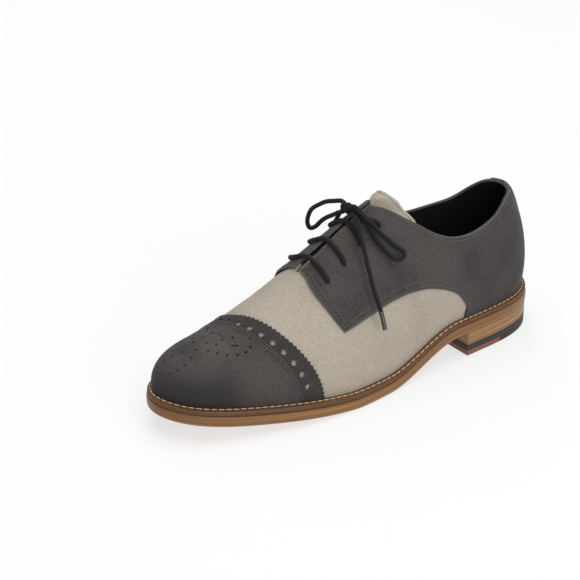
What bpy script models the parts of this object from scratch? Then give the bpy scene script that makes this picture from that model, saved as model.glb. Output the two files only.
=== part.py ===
"""Left spectator derby shoe with a perforated toe cap, standing on its sole.

Frame: metres, +Z up, toe towards -Y, heel towards +Y, the outer (lateral) side
at +X.  The ground is z = 0.  Working sizes below are in millimetres; s is the
distance along the shoe from the back of the heel.
"""
import bpy
import bmesh
import numpy as np

# ------------------------------------------------------------ driving sizes, mm
LENGTH = 299.4          # sole, back of the heel to toe tip
HEEL_POLE = 46.0        # heel sections fan out about this s
TOE_POLE = 247.0        # toe sections fan out about this s
SOLE_T = 7.2            # outsole
WELT_T = 3.2            # welt, over the outsole
HEEL_LEN = 76.0         # breast of the heel
SEAT_Z = 17.1           # underside of the outsole over the heel
TOP_PIECE_T = 3.9       # leather front of the heel's top piece
RUBBER_T = 3.9          # rubber layer over it
RUBBER_FRONT = 44.6     # the rubber fills the top piece from here back
INSOLE_T = 3.0
WALL = 2.2              # wall of the upper
GAP = 0.3               # between touching pieces
OVER_GAP = 0.7          # between the upper and an overlay
OVER_T = 1.1            # cap and quarter leather
TONGUE_T = 2.2
TONGUE_RISE = 2.6
LACE_D = 2.8            # round lace
X_SHIFT = 0.7           # centres the shoe's box on x = 0

# edge of the sole, half widths from the centre line
#            s     lateral medial
SOLE_PLAN = [(2.0,   9.5,  -9.5),
             (8.0,   19.5, -19.0),
             (20.0,  28.6, -27.6),
             (40.0,  34.9, -33.6),
             (60.0,  37.2, -35.6),
             (80.0,  38.7, -35.2),
             (100.0, 40.3, -34.0),
             (120.0, 42.9, -34.2),
             (140.0, 46.1, -37.6),
             (160.0, 49.4, -43.6),
             (180.0, 51.0, -49.6),
             (198.0, 50.4, -51.8),
             (218.0, 47.9, -50.0),
             (240.0, 43.2, -45.4),
             (260.0, 37.6, -38.7),
             (276.0, 31.0, -31.7),
             (288.0, 22.6, -23.8),
             (295.3, 13.4, -15.4)]
TOE_TIP_X = -0.7

# how far the sole and welt stand out beyond the upper
#              s     lateral medial
WELT_REACH = [(0.0,   4.3, 4.0),
              (60.0,  4.3, 4.2),
              (110.0, 3.8, 3.0),
              (150.0, 4.4, 3.5),
              (200.0, 5.5, 5.2),
              (250.0, 6.5, 2.8),
              (299.4, 5.9, 4.4)]

# underside of the sole: flat under the ball, a curve up to the toe, an arch
TOE_SPRING, SPRING_FROM, SPRING_POW = 14.4, 176.0, 1.22
ARCH_FROM, ARCH_TO = 149.0, 82.0

# line over the top of the foot
#          s      z      x
RIDGE = [(0.0,   121.0,  0.0),
         (46.0,  121.0,  0.0),
         (80.0,  121.5,  0.0),
         (105.0, 120.5, 0.2),
         (125.0, 117.0, 0.8),
         (145.0, 109.0, 1.0),
         (165.0, 97.5,  0.8),
         (185.0, 83.5,  -1.2),
         (205.0, 71.8,  -3.3),
         (225.0, 62.6,  -3.4),
         (247.0, 51.5,  -2.2),
         (299.4, 45.4,  0.0)]

# shape of a section: swell of the wall (mm), how far up it stays upright (share
# of its height), how flat it is on top (share of its width)
#            s    swell_l upright_l flat_l swell_m upright_m flat_m
SECTION = [(5.0,   8.0, 0.40, 0.68,  8.0, 0.40, 0.68),
           (30.0,  9.0, 0.43, 0.66,  9.0, 0.43, 0.54),
           (60.0,  5.0, 0.42, 0.64,  5.0, 0.42, 0.57),
           (100.0, 4.0, 0.42, 0.43,  4.0, 0.42, 0.47),
           (130.0, 4.0, 0.42, 0.32,  4.0, 0.42, 0.46),
           (160.0, 4.0, 0.42, 0.32,  4.0, 0.45, 0.44),
           (190.0, 4.0, 0.46, 0.38,  4.0, 0.50, 0.42),
           (220.0, 4.0, 0.51, 0.49,  4.0, 0.50, 0.40),
           (250.0, 4.0, 0.55, 0.54,  5.4, 0.56, 0.50),
           (275.0, 5.2, 0.56, 0.58, 11.4, 0.56, 0.54),
           (295.0, 3.0, 0.56, 0.55,  2.0, 0.56, 0.56)]

# top line of the collar, height over the ground by s along the foot
#           s      lateral medial
COLLAR = [(3.0,   99.4,  99.4),
          (10.0,  100.0, 97.8),
          (20.0,  100.0, 93.6),
          (27.0,  98.9,  90.6),
          (34.0,  96.3,  87.6),
          (46.0,  91.0,  84.8),
          (60.0,  86.3,  84.4),
          (75.0,  84.9,  84.8),
          (90.0,  88.2,  87.5),
          (100.0, 93.4,  93.0),
          (109.0, 99.8,  100.5),
          (118.0, 105.8, 106.5),
          (128.0, 111.8, 112.0),
          (134.0, 113.4, 114.5)]
# gap between the facings, half width either side of the ridge
#           s      half gap
THROAT = [(130.0, 1.2),
          (150.0, 1.3),
          (165.0, 1.6),
          (175.0, 2.2),
          (183.0, 3.6)]
THROAT_END = 190.0      # the throat closes in a round end here

# rear edge of the toe cap, as q of the last by height v of the section
#            v     lateral medial
CAP_EDGE = [(0.0,  1.775, 1.858),
            (0.1,  1.783, 1.868),
            (0.25, 1.802, 1.886),
            (0.4,  1.829, 1.904),
            (0.6,  1.865, 1.924),
            (0.8,  1.894, 1.930),
            (1.0,  1.918, 1.918)]

# lower edge of a quarter, from the tip of its front flap to the welt
#             q      v
QUARTER_LOW = [(1.665, 0.377),
               (1.605, 0.375),
               (1.522, 0.364),
               (1.438, 0.347),
               (1.355, 0.310),
               (1.272, 0.248),
               (1.200, 0.172),
               (1.160, 0.092),
               (1.146, 0.0)]
# front edge of a quarter's flap, tip to throat
#               v      q
QUARTER_FRONT = [(0.377, 1.667),
                 (0.470, 1.686),
                 (0.573, 1.701),
                 (0.723, 1.714),
                 (0.840, 1.710)]

# eyelets of a facing, on the upper's surface
#          q      v
EYELETS = [(1.662, 0.690),
           (1.596, 0.700),
           (1.524, 0.718),
           (1.440, 0.736)]

LACE_OVER = 5.2         # axis of a lace over the upper's own surface
BAR_END = 0.035         # a bar stops this much of v above its eyelet
# the knot is a short helix across the shoe
KNOT_AT = (0.5, 150.4, 114.6)          # x, s, z of its middle
KNOT_R, KNOT_PITCH, KNOT_TURNS = 2.3, 3.2, 2.2
# loops of the bow
#                x      s      z
LOOP_LATERAL = [(7.0,   147.6, 114.2),
                (10.6,  145.6, 111.0),
                (17.4,  143.9, 102.6),
                (22.8,  141.5, 95.3),
                (27.9,  137.2, 88.3),
                (30.6,  131.0, 84.6),
                (30.2,  127.0, 87.0),
                (27.0,  129.6, 90.8),
                (23.4,  134.6, 96.2),
                (20.0,  139.4, 101.6),
                (17.0,  143.4, 107.8),
                (11.8,  147.8, 113.6),
                (7.0,   150.2, 117.8)]
LOOP_MEDIAL = [(-6.2,  150.4, 117.6),
               (-9.6,  153.4, 117.6),
               (-14.0, 156.2, 116.6),
               (-19.0, 158.8, 113.3),
               (-23.0, 161.4, 109.2),
               (-25.5, 162.4, 103.5),
               (-26.0, 162.8, 97.9),
               (-24.8, 161.5, 94.4),
               (-21.8, 159.7, 96.4),
               (-18.0, 158.7, 101.7),
               (-13.5, 156.7, 107.4),
               (-9.2,  155.0, 111.2),
               (-5.4,  154.0, 113.8)]
# where the hanging ends leave the knot
#                    x      s      z
END_START = {"lateral": (6.8,  152.8, 113.8),
             "medial": (-6.0, 148.8, 112.4)}
# hanging ends, on the upper's surface and the height of the axis over it
#                        q      v      over
LACE_END = {"lateral": [(1.512, 0.880, 9.2),
                        (1.518, 0.830, 9.2),
                        (1.528, 0.760, 9.2),
                        (1.537, 0.680, 9.0),
                        (1.545, 0.582, 8.4),
                        (1.551, 0.486, 8.4),
                        (1.549, 0.385, 8.6),
                        (1.550, 0.293, 8.8)],
            "medial":  [(1.486, 0.900, 5.4),
                        (1.486, 0.820, 4.8),
                        (1.488, 0.740, 4.6),
                        (1.490, 0.640, 4.6),
                        (1.494, 0.550, 4.6),
                        (1.500, 0.460, 4.6),
                        (1.504, 0.370, 4.6),
                        (1.508, 0.280, 4.6)]}


# ------------------------------------------------------------ smooth curves
def curve(xs, ys, x, closed=False):
    """Smooth curve through the rows (xs, ys), read at x."""
    xs = np.asarray(xs, float)
    ys = np.asarray(ys, float)
    if ys.ndim == 1:
        ys = ys[:, None]
    n, h = len(xs), np.diff(xs)
    A, B = np.zeros((n, n)), np.zeros((n, ys.shape[1]))
    for i in range(1, n - 1):
        A[i, i - 1:i + 2] = h[i - 1], 2 * (h[i - 1] + h[i]), h[i]
        B[i] = 6 * ((ys[i + 1] - ys[i]) / h[i] - (ys[i] - ys[i - 1]) / h[i - 1])
    if closed:
        A[0, 0], A[0, n - 1] = 1, -1
        A[n - 1, n - 2], A[n - 1, n - 1] = h[-1], 2 * h[-1]
        A[n - 1, 0] += 2 * h[0]
        A[n - 1, 1] += h[0]
        B[n - 1] = 6 * ((ys[1] - ys[0]) / h[0] - (ys[n - 1] - ys[n - 2]) / h[-1])
    else:
        A[0, 0] = A[n - 1, n - 1] = 1
    M = np.linalg.solve(A, B)
    x = np.asarray(x, float)
    if closed:
        x = xs[0] + np.mod(x - xs[0], xs[-1] - xs[0])
    else:
        x = np.clip(x, xs[0], xs[-1])
    k = np.clip(np.searchsorted(xs, x, side="right") - 1, 0, n - 2)
    a, b, hk = (xs[k + 1] - x)[..., None], (x - xs[k])[..., None], h[k][..., None]
    return ((M[k] * a ** 3 + M[k + 1] * b ** 3) / (6 * hk)
            + (ys[k] / hk - M[k] * hk / 6) * a + (ys[k + 1] / hk - M[k + 1] * hk / 6) * b)


def column(table, x, *cols):
    """Columns of a table as smooth functions of its first column."""
    t = np.array(table, float)
    r = curve(t[:, 0], t[:, list(cols)], x)
    return r[..., 0] if len(cols) == 1 else r


def along(points, n):
    """n points evenly along a smooth curve through the given ones."""
    p = np.array(points, float)
    c = np.r_[0, np.cumsum(np.linalg.norm(np.diff(p, axis=0), axis=1))]
    fine = curve(c, p, np.linspace(0, c[-1], 400))
    d = np.r_[0, np.cumsum(np.linalg.norm(np.diff(fine, axis=0), axis=1))]
    t = np.linspace(0, d[-1], n)
    return np.stack([np.interp(t, d, fine[:, k]) for k in range(p.shape[1])], -1)


# ------------------------------------------------------------ plan of the sole
def sole_edge(n=2880):
    """Outline of the sole in (x, s): heel back, lateral side, toe, medial side."""
    lat = [(r[1], r[0]) for r in SOLE_PLAN]
    med = [(r[2], r[0]) for r in reversed(SOLE_PLAN)]
    p = np.array([(0.0, 0.0)] + lat + [(TOE_TIP_X, LENGTH)] + med + [(0.0, 0.0)])
    c = np.r_[0, np.cumsum(np.hypot(*np.diff(p, axis=0).T))]
    return curve(c, p, np.linspace(0, c[-1], n + 1)[:-1], closed=True)


def outward(p):
    """Unit normals of that outline."""
    t = np.roll(p, -1, 0) - np.roll(p, 1, 0)
    n = np.stack([t[:, 1], -t[:, 0]], -1)
    return n / np.hypot(n[:, 0], n[:, 1])[:, None]


def side_mix(p):
    """1 on the lateral side, 0 on the medial side, smooth round heel and toe."""
    c = np.interp(p[:, 1], (0, LENGTH), (0.0, TOE_TIP_X))
    w = np.clip(0.5 + (p[:, 0] - c) / 24.0, 0, 1)
    return w * w * (3 - 2 * w)


def feather_line(n=2880, inset=0.0):
    """Where the upper meets the welt."""
    p = sole_edge(n)
    w = side_mix(p)
    r = column(WELT_REACH, p[:, 1], 1, 2)
    return p - outward(p) * (r[:, 0] * w + r[:, 1] * (1 - w) + inset)[:, None]


def under_z(s):
    """Underside of the outsole above the ground."""
    s = np.asarray(s, float)
    toe = TOE_SPRING * np.clip((s - SPRING_FROM) / (LENGTH - SPRING_FROM), 0, 1) ** SPRING_POW
    t = np.clip((ARCH_FROM - s) / (ARCH_FROM - ARCH_TO), 0, 1)
    return toe + SEAT_Z * (3 * t * t - 2 * t ** 3)


def seat_z(s):
    """Top of the welt, where the upper stands."""
    return under_z(s) + SOLE_T + WELT_T


# ------------------------------------------------------------ the last
class Last:
    """Sections fan round the heel (q 0-1), run square across (1-2) and fan
    round the toe (2-3).  Along a section v runs from the welt (0) to the
    ridge (1).  side is +1 lateral, -1 medial."""

    def __init__(self):
        self.line = feather_line()
        k = int(np.argmax(self.line[:, 1]))
        self.half = {1: self.line[:k + 1], -1: np.r_[self.line[k:], self.line[:1]][::-1]}
        self.shape = np.array(SECTION, float)

    def plan(self, side, q):
        """Feather point and spine point of a section, both (x, s)."""
        q = np.asarray(q, float)
        g = self.half[side]
        foot, spine = np.zeros(q.shape + (2,)), np.zeros(q.shape + (2,))
        for fan, pole_s in ((0, HEEL_POLE), (2, TOE_POLE)):
            pole = np.array([float(column(RIDGE, pole_s, 2)), pole_s])
            d = self.line - pole
            sign = -1.0 if fan == 0 else 1.0
            ang = np.arctan2(side * d[:, 0], sign * d[:, 1])
            turn = np.clip(q, 0, 1) if fan == 0 else 3 - np.clip(q, 2, 3)
            m = (q < 1) if fan == 0 else (q >= 2)
            o = np.argsort(ang)
            r = np.interp(turn * np.pi / 2, ang[o], np.hypot(d[:, 0], d[:, 1])[o])
            a = turn * np.pi / 2
            foot[m] = (pole + np.stack([side * np.sin(a) * r, sign * np.cos(a) * r], -1))[m]
            spine[m] = pole
        m = (q >= 1) & (q < 2)
        s = HEEL_POLE + (np.clip(q, 1, 2) - 1) * (TOE_POLE - HEEL_POLE)
        x = np.interp(s, g[:, 1], g[:, 0])
        foot[m] = np.stack([x, s], -1)[m]
        spine[m] = np.stack([column(RIDGE, s, 2), s], -1)[m]
        return foot, spine

    def point(self, side, q, v):
        """Point of the surface, (x, s, z)."""
        q, v = np.broadcast_arrays(np.asarray(q, float), np.asarray(v, float))
        foot, spine = self.plan(side, q)
        d = spine - foot
        r = np.hypot(d[..., 0], d[..., 1])
        d = d / r[..., None]
        z0 = seat_z(foot[..., 1])
        rise = column(RIDGE, spine[..., 1], 1) - z0
        slope = (column(RIDGE, spine[..., 1] + 2, 1) - column(RIDGE, spine[..., 1] - 2, 1)) / 4.0
        c = curve(self.shape[:, 0], self.shape[:, 1:], np.clip(foot[..., 1], 5, 295))
        mine, other = (c[..., :3], c[..., 3:]) if side > 0 else (c[..., 3:], c[..., :3])
        e = np.clip(np.where(q > 2, 3 - q, np.where(q < 1, q, 1.0)), 0, 1)
        w = (0.5 + 0.5 * np.sin(e * np.pi / 2))[..., None]
        swell, upright, flat = np.moveaxis(mine * w + other * (1 - w), -1, 0)
        a1, a2, a3 = 3 * v * (1 - v) ** 2, 3 * v * v * (1 - v), v ** 3
        n = -a1 * swell + a2 * r * (1 - flat) + a3 * r
        z = a1 * upright * rise + a2 * (rise - slope * d[..., 1] * r * flat) + a3 * rise
        return np.concatenate([foot + d * n[..., None], (z0 + z)[..., None]], -1)

    def normal(self, side, q, v, e=0.004):
        """Outward unit normal of the surface, in (x, s, z)."""
        q, v = np.broadcast_arrays(np.asarray(q, float), np.asarray(v, float))
        v = np.clip(v, 0.0, 1 - 2 * e)
        u = np.clip(q, 0.0, 3.0 - e)
        du = self.point(side, u + e, v) - self.point(side, u, v)
        dv = self.point(side, u, v + e) - self.point(side, u, v)
        n = np.cross(du, dv) * side
        return n / np.maximum(np.linalg.norm(n, axis=-1), 1e-12)[..., None]

    def open_edge(self, side, q):
        """v where the upper ends at the collar or the facing; 1 over the vamp."""
        q = np.atleast_1d(np.asarray(q, float))
        v = np.linspace(0, 1, 241)
        p = self.point(side, q[:, None], v[None, :])
        s = self.plan(side, q)[0][:, 1]
        both = column(COLLAR, s, 1, 2)
        w = 0.5 + 0.5 * np.sin(np.clip(q, 0, 1) * np.pi / 2)
        top = np.where(side > 0, w * both[:, 0] + (1 - w) * both[:, 1],
                       w * both[:, 1] + (1 - w) * both[:, 0])
        ridge = self.plan(side, q)[1]
        half = column(THROAT, ridge[:, 1], 1)
        close = np.clip((THROAT_END - ridge[:, 1]) / 9.0, 0, 1)
        half = half * np.sqrt(np.maximum(1 - (1 - close) ** 2, 0))
        out = np.ones(len(q))
        for i in range(len(q)):
            if ridge[i, 1] >= THROAT_END:
                continue
            a = 1.0
            if ridge[i, 1] > 100.0:
                a = np.interp(half[i], (side * (p[i, :, 0] - ridge[i, 0]))[::-1], v[::-1])
            b = np.interp(top[i], p[i, :, 2], v) if s[i] < 134.0 else 1.0
            k = 0.03
            h = np.clip(0.5 + 0.5 * (b - a) / k, 0, 1)
            out[i] = b * (1 - h) + a * h - k * h * (1 - h)
        return out


def over(side, q, v, d):
    """Point at a height over the surface, (x, s, z)."""
    return LAST.point(side, q, v) + LAST.normal(side, q, v) * np.asarray(d)[..., None]


def square(s):
    """q of the square section at s."""
    return 1 + (s - HEEL_POLE) / (TOE_POLE - HEEL_POLE)


# ------------------------------------------------------------ meshes
LAST = Last()


def place(p):
    """(x, s, z) in millimetres to the shoe's frame in metres."""
    p = np.asarray(p, float)
    return np.stack([p[..., 0] + X_SHIFT, LENGTH / 2 - p[..., 1], p[..., 2]], -1) * 0.001


class Skin:
    """A surface made of patches that share their common edges, with the unit
    normal at every vertex."""

    def __init__(self, patches):
        self.v, self.n, self.f = [], [], []
        index = {}
        for q, v, side, flip in patches:
            p = LAST.point(side, q, v)
            nn = LAST.normal(side, q, v)
            ids = np.zeros(p.shape[:2], int)
            for i in range(p.shape[0]):
                for j in range(p.shape[1]):
                    key = tuple(np.round(p[i, j] + 0.00137, 2) + 0.0)
                    if key not in index:
                        index[key] = len(self.v)
                        self.v.append(p[i, j])
                        self.n.append(np.zeros(3))
                    ids[i, j] = index[key]
                    self.n[ids[i, j]] = self.n[ids[i, j]] + nn[i, j]
            for i in range(p.shape[0] - 1):
                for j in range(p.shape[1] - 1):
                    a, b, c, d = ids[i, j], ids[i + 1, j], ids[i + 1, j + 1], ids[i, j + 1]
                    ring = [a, b, c, d] if flip else [a, d, c, b]
                    ring = [k for n_, k in enumerate(ring) if k != ring[n_ - 1]]
                    if len(ring) == 4:
                        self.f += [(ring[0], ring[1], ring[2]), (ring[0], ring[2], ring[3])]
                    elif len(ring) == 3:
                        self.f.append(tuple(ring))
        self.v = np.array(self.v)
        self.n = np.array(self.n)
        self.n /= np.linalg.norm(self.n, axis=1)[:, None]

    def solid(self, outer, inner):
        """Closed body between two offsets of the surface."""
        outer = np.broadcast_to(outer, len(self.v))[:, None]
        inner = np.broadcast_to(inner, len(self.v))[:, None]
        k = len(self.v)
        verts = np.r_[self.v + self.n * outer, self.v + self.n * inner]
        faces = list(self.f) + [(c + k, b + k, a + k) for a, b, c in self.f]
        edges = {}
        for f in self.f:
            for i in range(3):
                edges[(f[i], f[(i + 1) % 3])] = True
        for a, b in list(edges):
            if (b, a) not in edges:
                faces += [(b, a, a + k), (b, a + k, b + k)]
        return verts, faces


def mesh_object(name, verts, faces, material, smooth=True):
    mesh = bpy.data.meshes.new(name)
    bm = bmesh.new()
    bv = [bm.verts.new(tuple(p)) for p in place(verts)]
    for f in faces:
        if len(set(f)) > 2:
            bm.faces.new([bv[i] for i in f])
    bmesh.ops.recalc_face_normals(bm, faces=bm.faces)
    bmesh.ops.triangulate(bm, faces=bm.faces)
    bm.to_mesh(mesh)
    bm.free()
    if smooth:
        mesh.shade_smooth()
        mesh.set_sharp_from_angle(angle=0.7)
    mesh.materials.append(material)
    ob = bpy.data.objects.new(name, mesh)
    bpy.context.scene.collection.objects.link(ob)
    return ob


def loop_of(outline, n):
    """n points of an outline, so that point k faces point n - k."""
    return outline[(np.arange(n) * (len(outline) // n))]


def slab(loop, low, high):
    """Closed body between two height functions over a closed plan loop whose
    first point is at one end and whose middle point is at the other."""
    n = len(loop)
    bottom = np.c_[loop, low(loop[:, 1])]
    top = np.c_[loop, high(loop[:, 1])]
    verts = np.r_[bottom, top]
    faces = []
    for k in range(n):
        m = (k + 1) % n
        faces.append((k, m, m + n, k + n))
    for k in range(n // 2):
        a, b, c, d = k, k + 1, n - k - 1, (n - k) % n
        ring = [a, b] if b == c else [a, b, c]
        ring = ring + ([d] if d != a else [])
        if len(ring) > 2:
            faces += [tuple(ring), tuple(i + n for i in reversed(ring))]
    return verts, faces


def ring(outer, inner, low, high):
    """Closed ring between two plan loops and two height functions."""
    n = len(outer)
    verts = np.r_[np.c_[outer, low(outer[:, 1])], np.c_[outer, high(outer[:, 1])],
                  np.c_[inner, high(inner[:, 1])], np.c_[inner, low(inner[:, 1])]]
    faces = []
    for k in range(n):
        m = (k + 1) % n
        for a in range(4):
            b = (a + 1) % 4
            faces.append((a * n + k, a * n + m, b * n + m, b * n + k))
    return verts, faces


def material(name, colour, rough, metal=0.0):
    m = bpy.data.materials.new(name)
    m.use_nodes = True
    b = m.node_tree.nodes["Principled BSDF"]
    b.inputs["Base Color"].default_value = (*colour, 1.0)
    b.inputs["Roughness"].default_value = rough
    b.inputs["Metallic"].default_value = metal
    m.diffuse_color = (*colour, 1.0)
    return m


def tube(name, points, diameter, mat):
    """Round cord along a smooth route."""
    cu = bpy.data.curves.new(name, "CURVE")
    cu.dimensions = "3D"
    cu.bevel_depth = diameter * 0.0005
    cu.bevel_resolution = 2
    cu.use_fill_caps = True
    cu.render_resolution_u = 0
    sp = cu.splines.new("POLY")
    pts = place(points)
    sp.points.add(len(pts) - 1)
    for k, p in enumerate(pts):
        sp.points[k].co = (*p, 1.0)
    cu.materials.append(mat)
    ob = bpy.data.objects.new(name, cu)
    bpy.context.scene.collection.objects.link(ob)
    return ob


# ------------------------------------------------------------ the pieces
def build_sole(mats):
    n = 96
    edge = sole_edge()
    verts, faces = slab(loop_of(edge, n), under_z, lambda s: under_z(s) + SOLE_T)
    mesh_object("outsole", verts, faces, mats["sole"])

    outer = loop_of(edge - outward(edge) * 0.5, n)
    inner = loop_of(feather_line(inset=4.4), n)
    verts, faces = ring(outer, inner, lambda s: under_z(s) + SOLE_T + GAP, seat_z)
    mesh_object("welt", verts, faces, mats["welt"])

    bed = loop_of(feather_line(inset=WALL + 0.7), 72)
    verts, faces = slab(bed, lambda s: seat_z(s) + GAP, lambda s: seat_z(s) + GAP + INSOLE_T)
    mesh_object("insole", verts, faces, mats["lining"])


def heel_loop(front, back, n=44, inset=0.5):
    """Outline of a heel layer between two square cuts, first point in the
    middle of the back, middle point in the middle of the front."""
    e = sole_edge()
    e = e - outward(e) * inset
    k = int(np.argmax(e[:, 1]))
    lat, med = e[:k + 1], np.r_[e[k:], e[:1]][::-1]
    out = []
    for g in (lat, med):
        g = g[(g[:, 1] <= front) & (g[:, 1] >= back)]
        c = np.r_[0, np.cumsum(np.hypot(*np.diff(g, axis=0).T))]
        t = np.linspace(0, c[-1], n // 2 - 2)
        out.append(np.stack([np.interp(t, c, g[:, 0]), np.interp(t, c, g[:, 1])], -1))
    lat, med = out
    lat[-1, 1] = med[-1, 1] = front
    if back > 0:
        lat[0, 1] = med[0, 1] = back
        start = [(0.0, back)]
        return np.r_[start, lat, [(0.0, front)], med[::-1]]
    start = [(0.0, lat[0, 1])]
    return np.r_[start, lat[1:], [(0.0, front)], med[1:][::-1]]


def build_heel(mats):
    top = TOP_PIECE_T + RUBBER_T
    flat = lambda z: (lambda s: np.full(np.shape(s), z))
    verts, faces = slab(heel_loop(HEEL_LEN, 0.0), flat(top + GAP),
                        lambda s: under_z(s) - GAP)
    mesh_object("heel_stack", verts, faces, mats["stack"])
    # rubber: a full layer, and behind the leather front piece down to the ground
    full = heel_loop(HEEL_LEN, 0.0)
    n = len(full)
    rear = full.copy()
    rear[:, 1] = np.minimum(rear[:, 1], RUBBER_FRONT)
    cut = heel_loop(RUBBER_FRONT, 0.0, n=len(full))
    verts, faces = stepped(full, cut, 0.0, TOP_PIECE_T, top)
    mesh_object("heel_rubber", verts, faces, mats["rubber"])
    verts, faces = slab(heel_loop(HEEL_LEN, RUBBER_FRONT + GAP), flat(0.0),
                        flat(TOP_PIECE_T - GAP))
    mesh_object("heel_front_leather", verts, faces, mats["top_piece"])


def stepped(full, cut, z0, z1, z2):
    """A layer (z1 to z2) over the full loop with its rear part going down to z0.
    Built as stations along the heel so that it is one clean body."""
    e = sole_edge()
    e = e - outward(e) * 0.5
    k = int(np.argmax(e[:, 1]))
    lat, med = e[:k + 1], np.r_[e[k:], e[:1]][::-1]
    a = (1 - np.cos(np.linspace(0, np.pi / 2, 15))) * RUBBER_FRONT
    stations = list(a[1:]) + list(np.linspace(RUBBER_FRONT, HEEL_LEN, 6)[1:])
    verts, faces = [], []
    start = lat[0]

    def row(s, z):
        xl = np.interp(s, lat[:, 1], lat[:, 0])
        xm = np.interp(s, med[:, 1], med[:, 0])
        return [(xm, s, z), (xl, s, z)]

    # end edge at the back of the heel
    verts += [(0.0, start[1], z0), (0.0, start[1], z2)]
    last_low, last_high = (0, 0), (1, 1)
    for s in stations:
        low = z0 if s <= RUBBER_FRONT + 1e-6 else z1
        i = len(verts)
        verts += row(s, low) + row(s, z2)
        lo, hi = (i, i + 1), (i + 2, i + 3)
        faces += [(last_low[0], lo[0], lo[1], last_low[1]),
                  (last_high[1], hi[1], hi[0], last_high[0]),
                  (last_low[0], last_high[0], hi[0], lo[0]),
                  (last_low[1], lo[1], hi[1], last_high[1])]
        last_low, last_high = lo, hi
        if abs(s - RUBBER_FRONT) < 1e-6:
            j = len(verts)
            verts += row(s, z1)
            faces.append((lo[0], j, j + 1, lo[1]))
            # side walls above the step start from the whole height here
            step_low = (j, j + 1)
            last_low = step_low
            corner = (lo, hi)
    faces.append((last_low[0], last_high[0], last_high[1], last_low[1]))
    clean = []
    for f in faces:
        g = [v for n_, v in enumerate(f) if v != f[n_ - 1]]
        if len(g) > 2:
            clean.append(tuple(g))
    # the step's corner edges: split the wall faces that end on it
    fixed = []
    lo, hi = corner
    for f in clean:
        if lo[0] in f and hi[0] in f and step_low[0] not in f and len(f) == 4:
            f = insert_between(f, lo[0], hi[0], step_low[0])
        if lo[1] in f and hi[1] in f and step_low[1] not in f and len(f) == 4:
            f = insert_between(f, lo[1], hi[1], step_low[1])
        fixed.append(f)
    return np.array(verts), fixed


def insert_between(f, a, b, new):
    """Put a vertex on the edge a-b of a face."""
    out = []
    for i, v in enumerate(f):
        out.append(v)
        w = f[(i + 1) % len(f)]
        if {v, w} == {a, b}:
            out.append(new)
    return tuple(out)


def stations(heel=8, mid=25, toe=9, start=0.0):
    """q of the sections; the throat's end is always one of them."""
    q = list(np.linspace(0, 1, heel, endpoint=False))
    q += list(np.linspace(1, 2, mid, endpoint=False))
    q += list(np.linspace(2, 3, toe + 1))
    q = np.array(q)
    e = square(THROAT_END)
    k = int(np.argmin(abs(q - e)))
    q[k] = e
    q[k - 1] = 0.35 * q[k - 2] + 0.65 * e
    return q[q >= start]


def build_upper(mats):
    q = stations()
    rows = np.linspace(0, 1, 12)
    patches = []
    for side in (1, -1):
        top = LAST.open_edge(side, q)
        patches.append((np.broadcast_to(q[:, None], (len(q), len(rows))),
                        top[:, None] * rows[None, :], side, side < 0))
    skin = Skin(patches)
    skin.v[:, 2] += GAP * np.clip(1 - (skin.v[:, 2] - seat_z(skin.v[:, 1])) / 4.0, 0, 1)
    verts, faces = skin.solid(0.0, -WALL)
    flatten(verts, skin, GAP)
    mesh_object("upper", verts, faces, mats["vamp"])


def flatten(verts, skin, gap):
    """Keep both skins' lowest edge on the welt, a gap above it."""
    low = seat_z(verts[:, 1]) + gap
    verts[:, 2] = np.maximum(verts[:, 2], low)


def build_cap(mats):
    rows = np.linspace(0, 1, 11)
    steps = np.linspace(0, 1, 15)
    patches = []
    for side in (1, -1):
        back = column(CAP_EDGE, rows, 1 if side > 0 else 2)
        q = back[None, :] + (3 - back[None, :]) * steps[:, None]
        patches.append((q, np.broadcast_to(rows[None, :], q.shape), side, side < 0))
    skin = Skin(patches)
    verts, faces = skin.solid(OVER_GAP + OVER_T, OVER_GAP)
    flatten(verts, skin, GAP)
    mesh_object("toe_cap", verts, faces, mats["grey"])


def quarter_grid(side, n=30, m=10):
    """(q, v) grid of a quarter from the back seam to the front of its flap."""
    low = np.array([(0.012, 0.0), (0.25, 0.0), (0.55, 0.0), (0.85, 0.0), (1.05, 0.0)]
                   + QUARTER_LOW[::-1])
    k = np.r_[np.arange(5), 5 + np.arange(len(QUARTER_LOW))].astype(float)
    t = np.linspace(0, 1, n)
    c = np.r_[0, np.cumsum(np.hypot(np.diff(low[:, 0]) * 1.0, np.diff(low[:, 1]) * 0.5))]
    u = t * c[-1]
    lo = np.stack([np.interp(u, c, low[:, 0]), np.interp(u, c, low[:, 1])], -1)
    q_top = 0.012 + (QUARTER_FRONT[-1][1] - 0.012) * t
    q_top = 0.6 * q_top + 0.4 * lo[:, 0]
    q_top[-1] = QUARTER_FRONT[-1][1]
    w = np.linspace(0, 1, m)
    q = lo[:, :1] + (q_top[:, None] - lo[:, :1]) * w[None, :]
    front = np.array(QUARTER_FRONT)
    bow = np.interp(w, (front[:, 0] - front[0, 0]) / (front[-1, 0] - front[0, 0]), front[:, 1])
    q[-1] = bow
    v = np.zeros_like(q)
    for j in range(m):
        top = LAST.open_edge(side, q[:, j])
        top = np.minimum(top, 0.93)
        v[:, j] = lo[:, 1] + (top - lo[:, 1]) * w[j]
    v[-1] = QUARTER_FRONT[0][0] + (LAST.open_edge(side, [q[-1, -1]])[0]
                                   - QUARTER_FRONT[0][0]) * w
    return q, v


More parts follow.
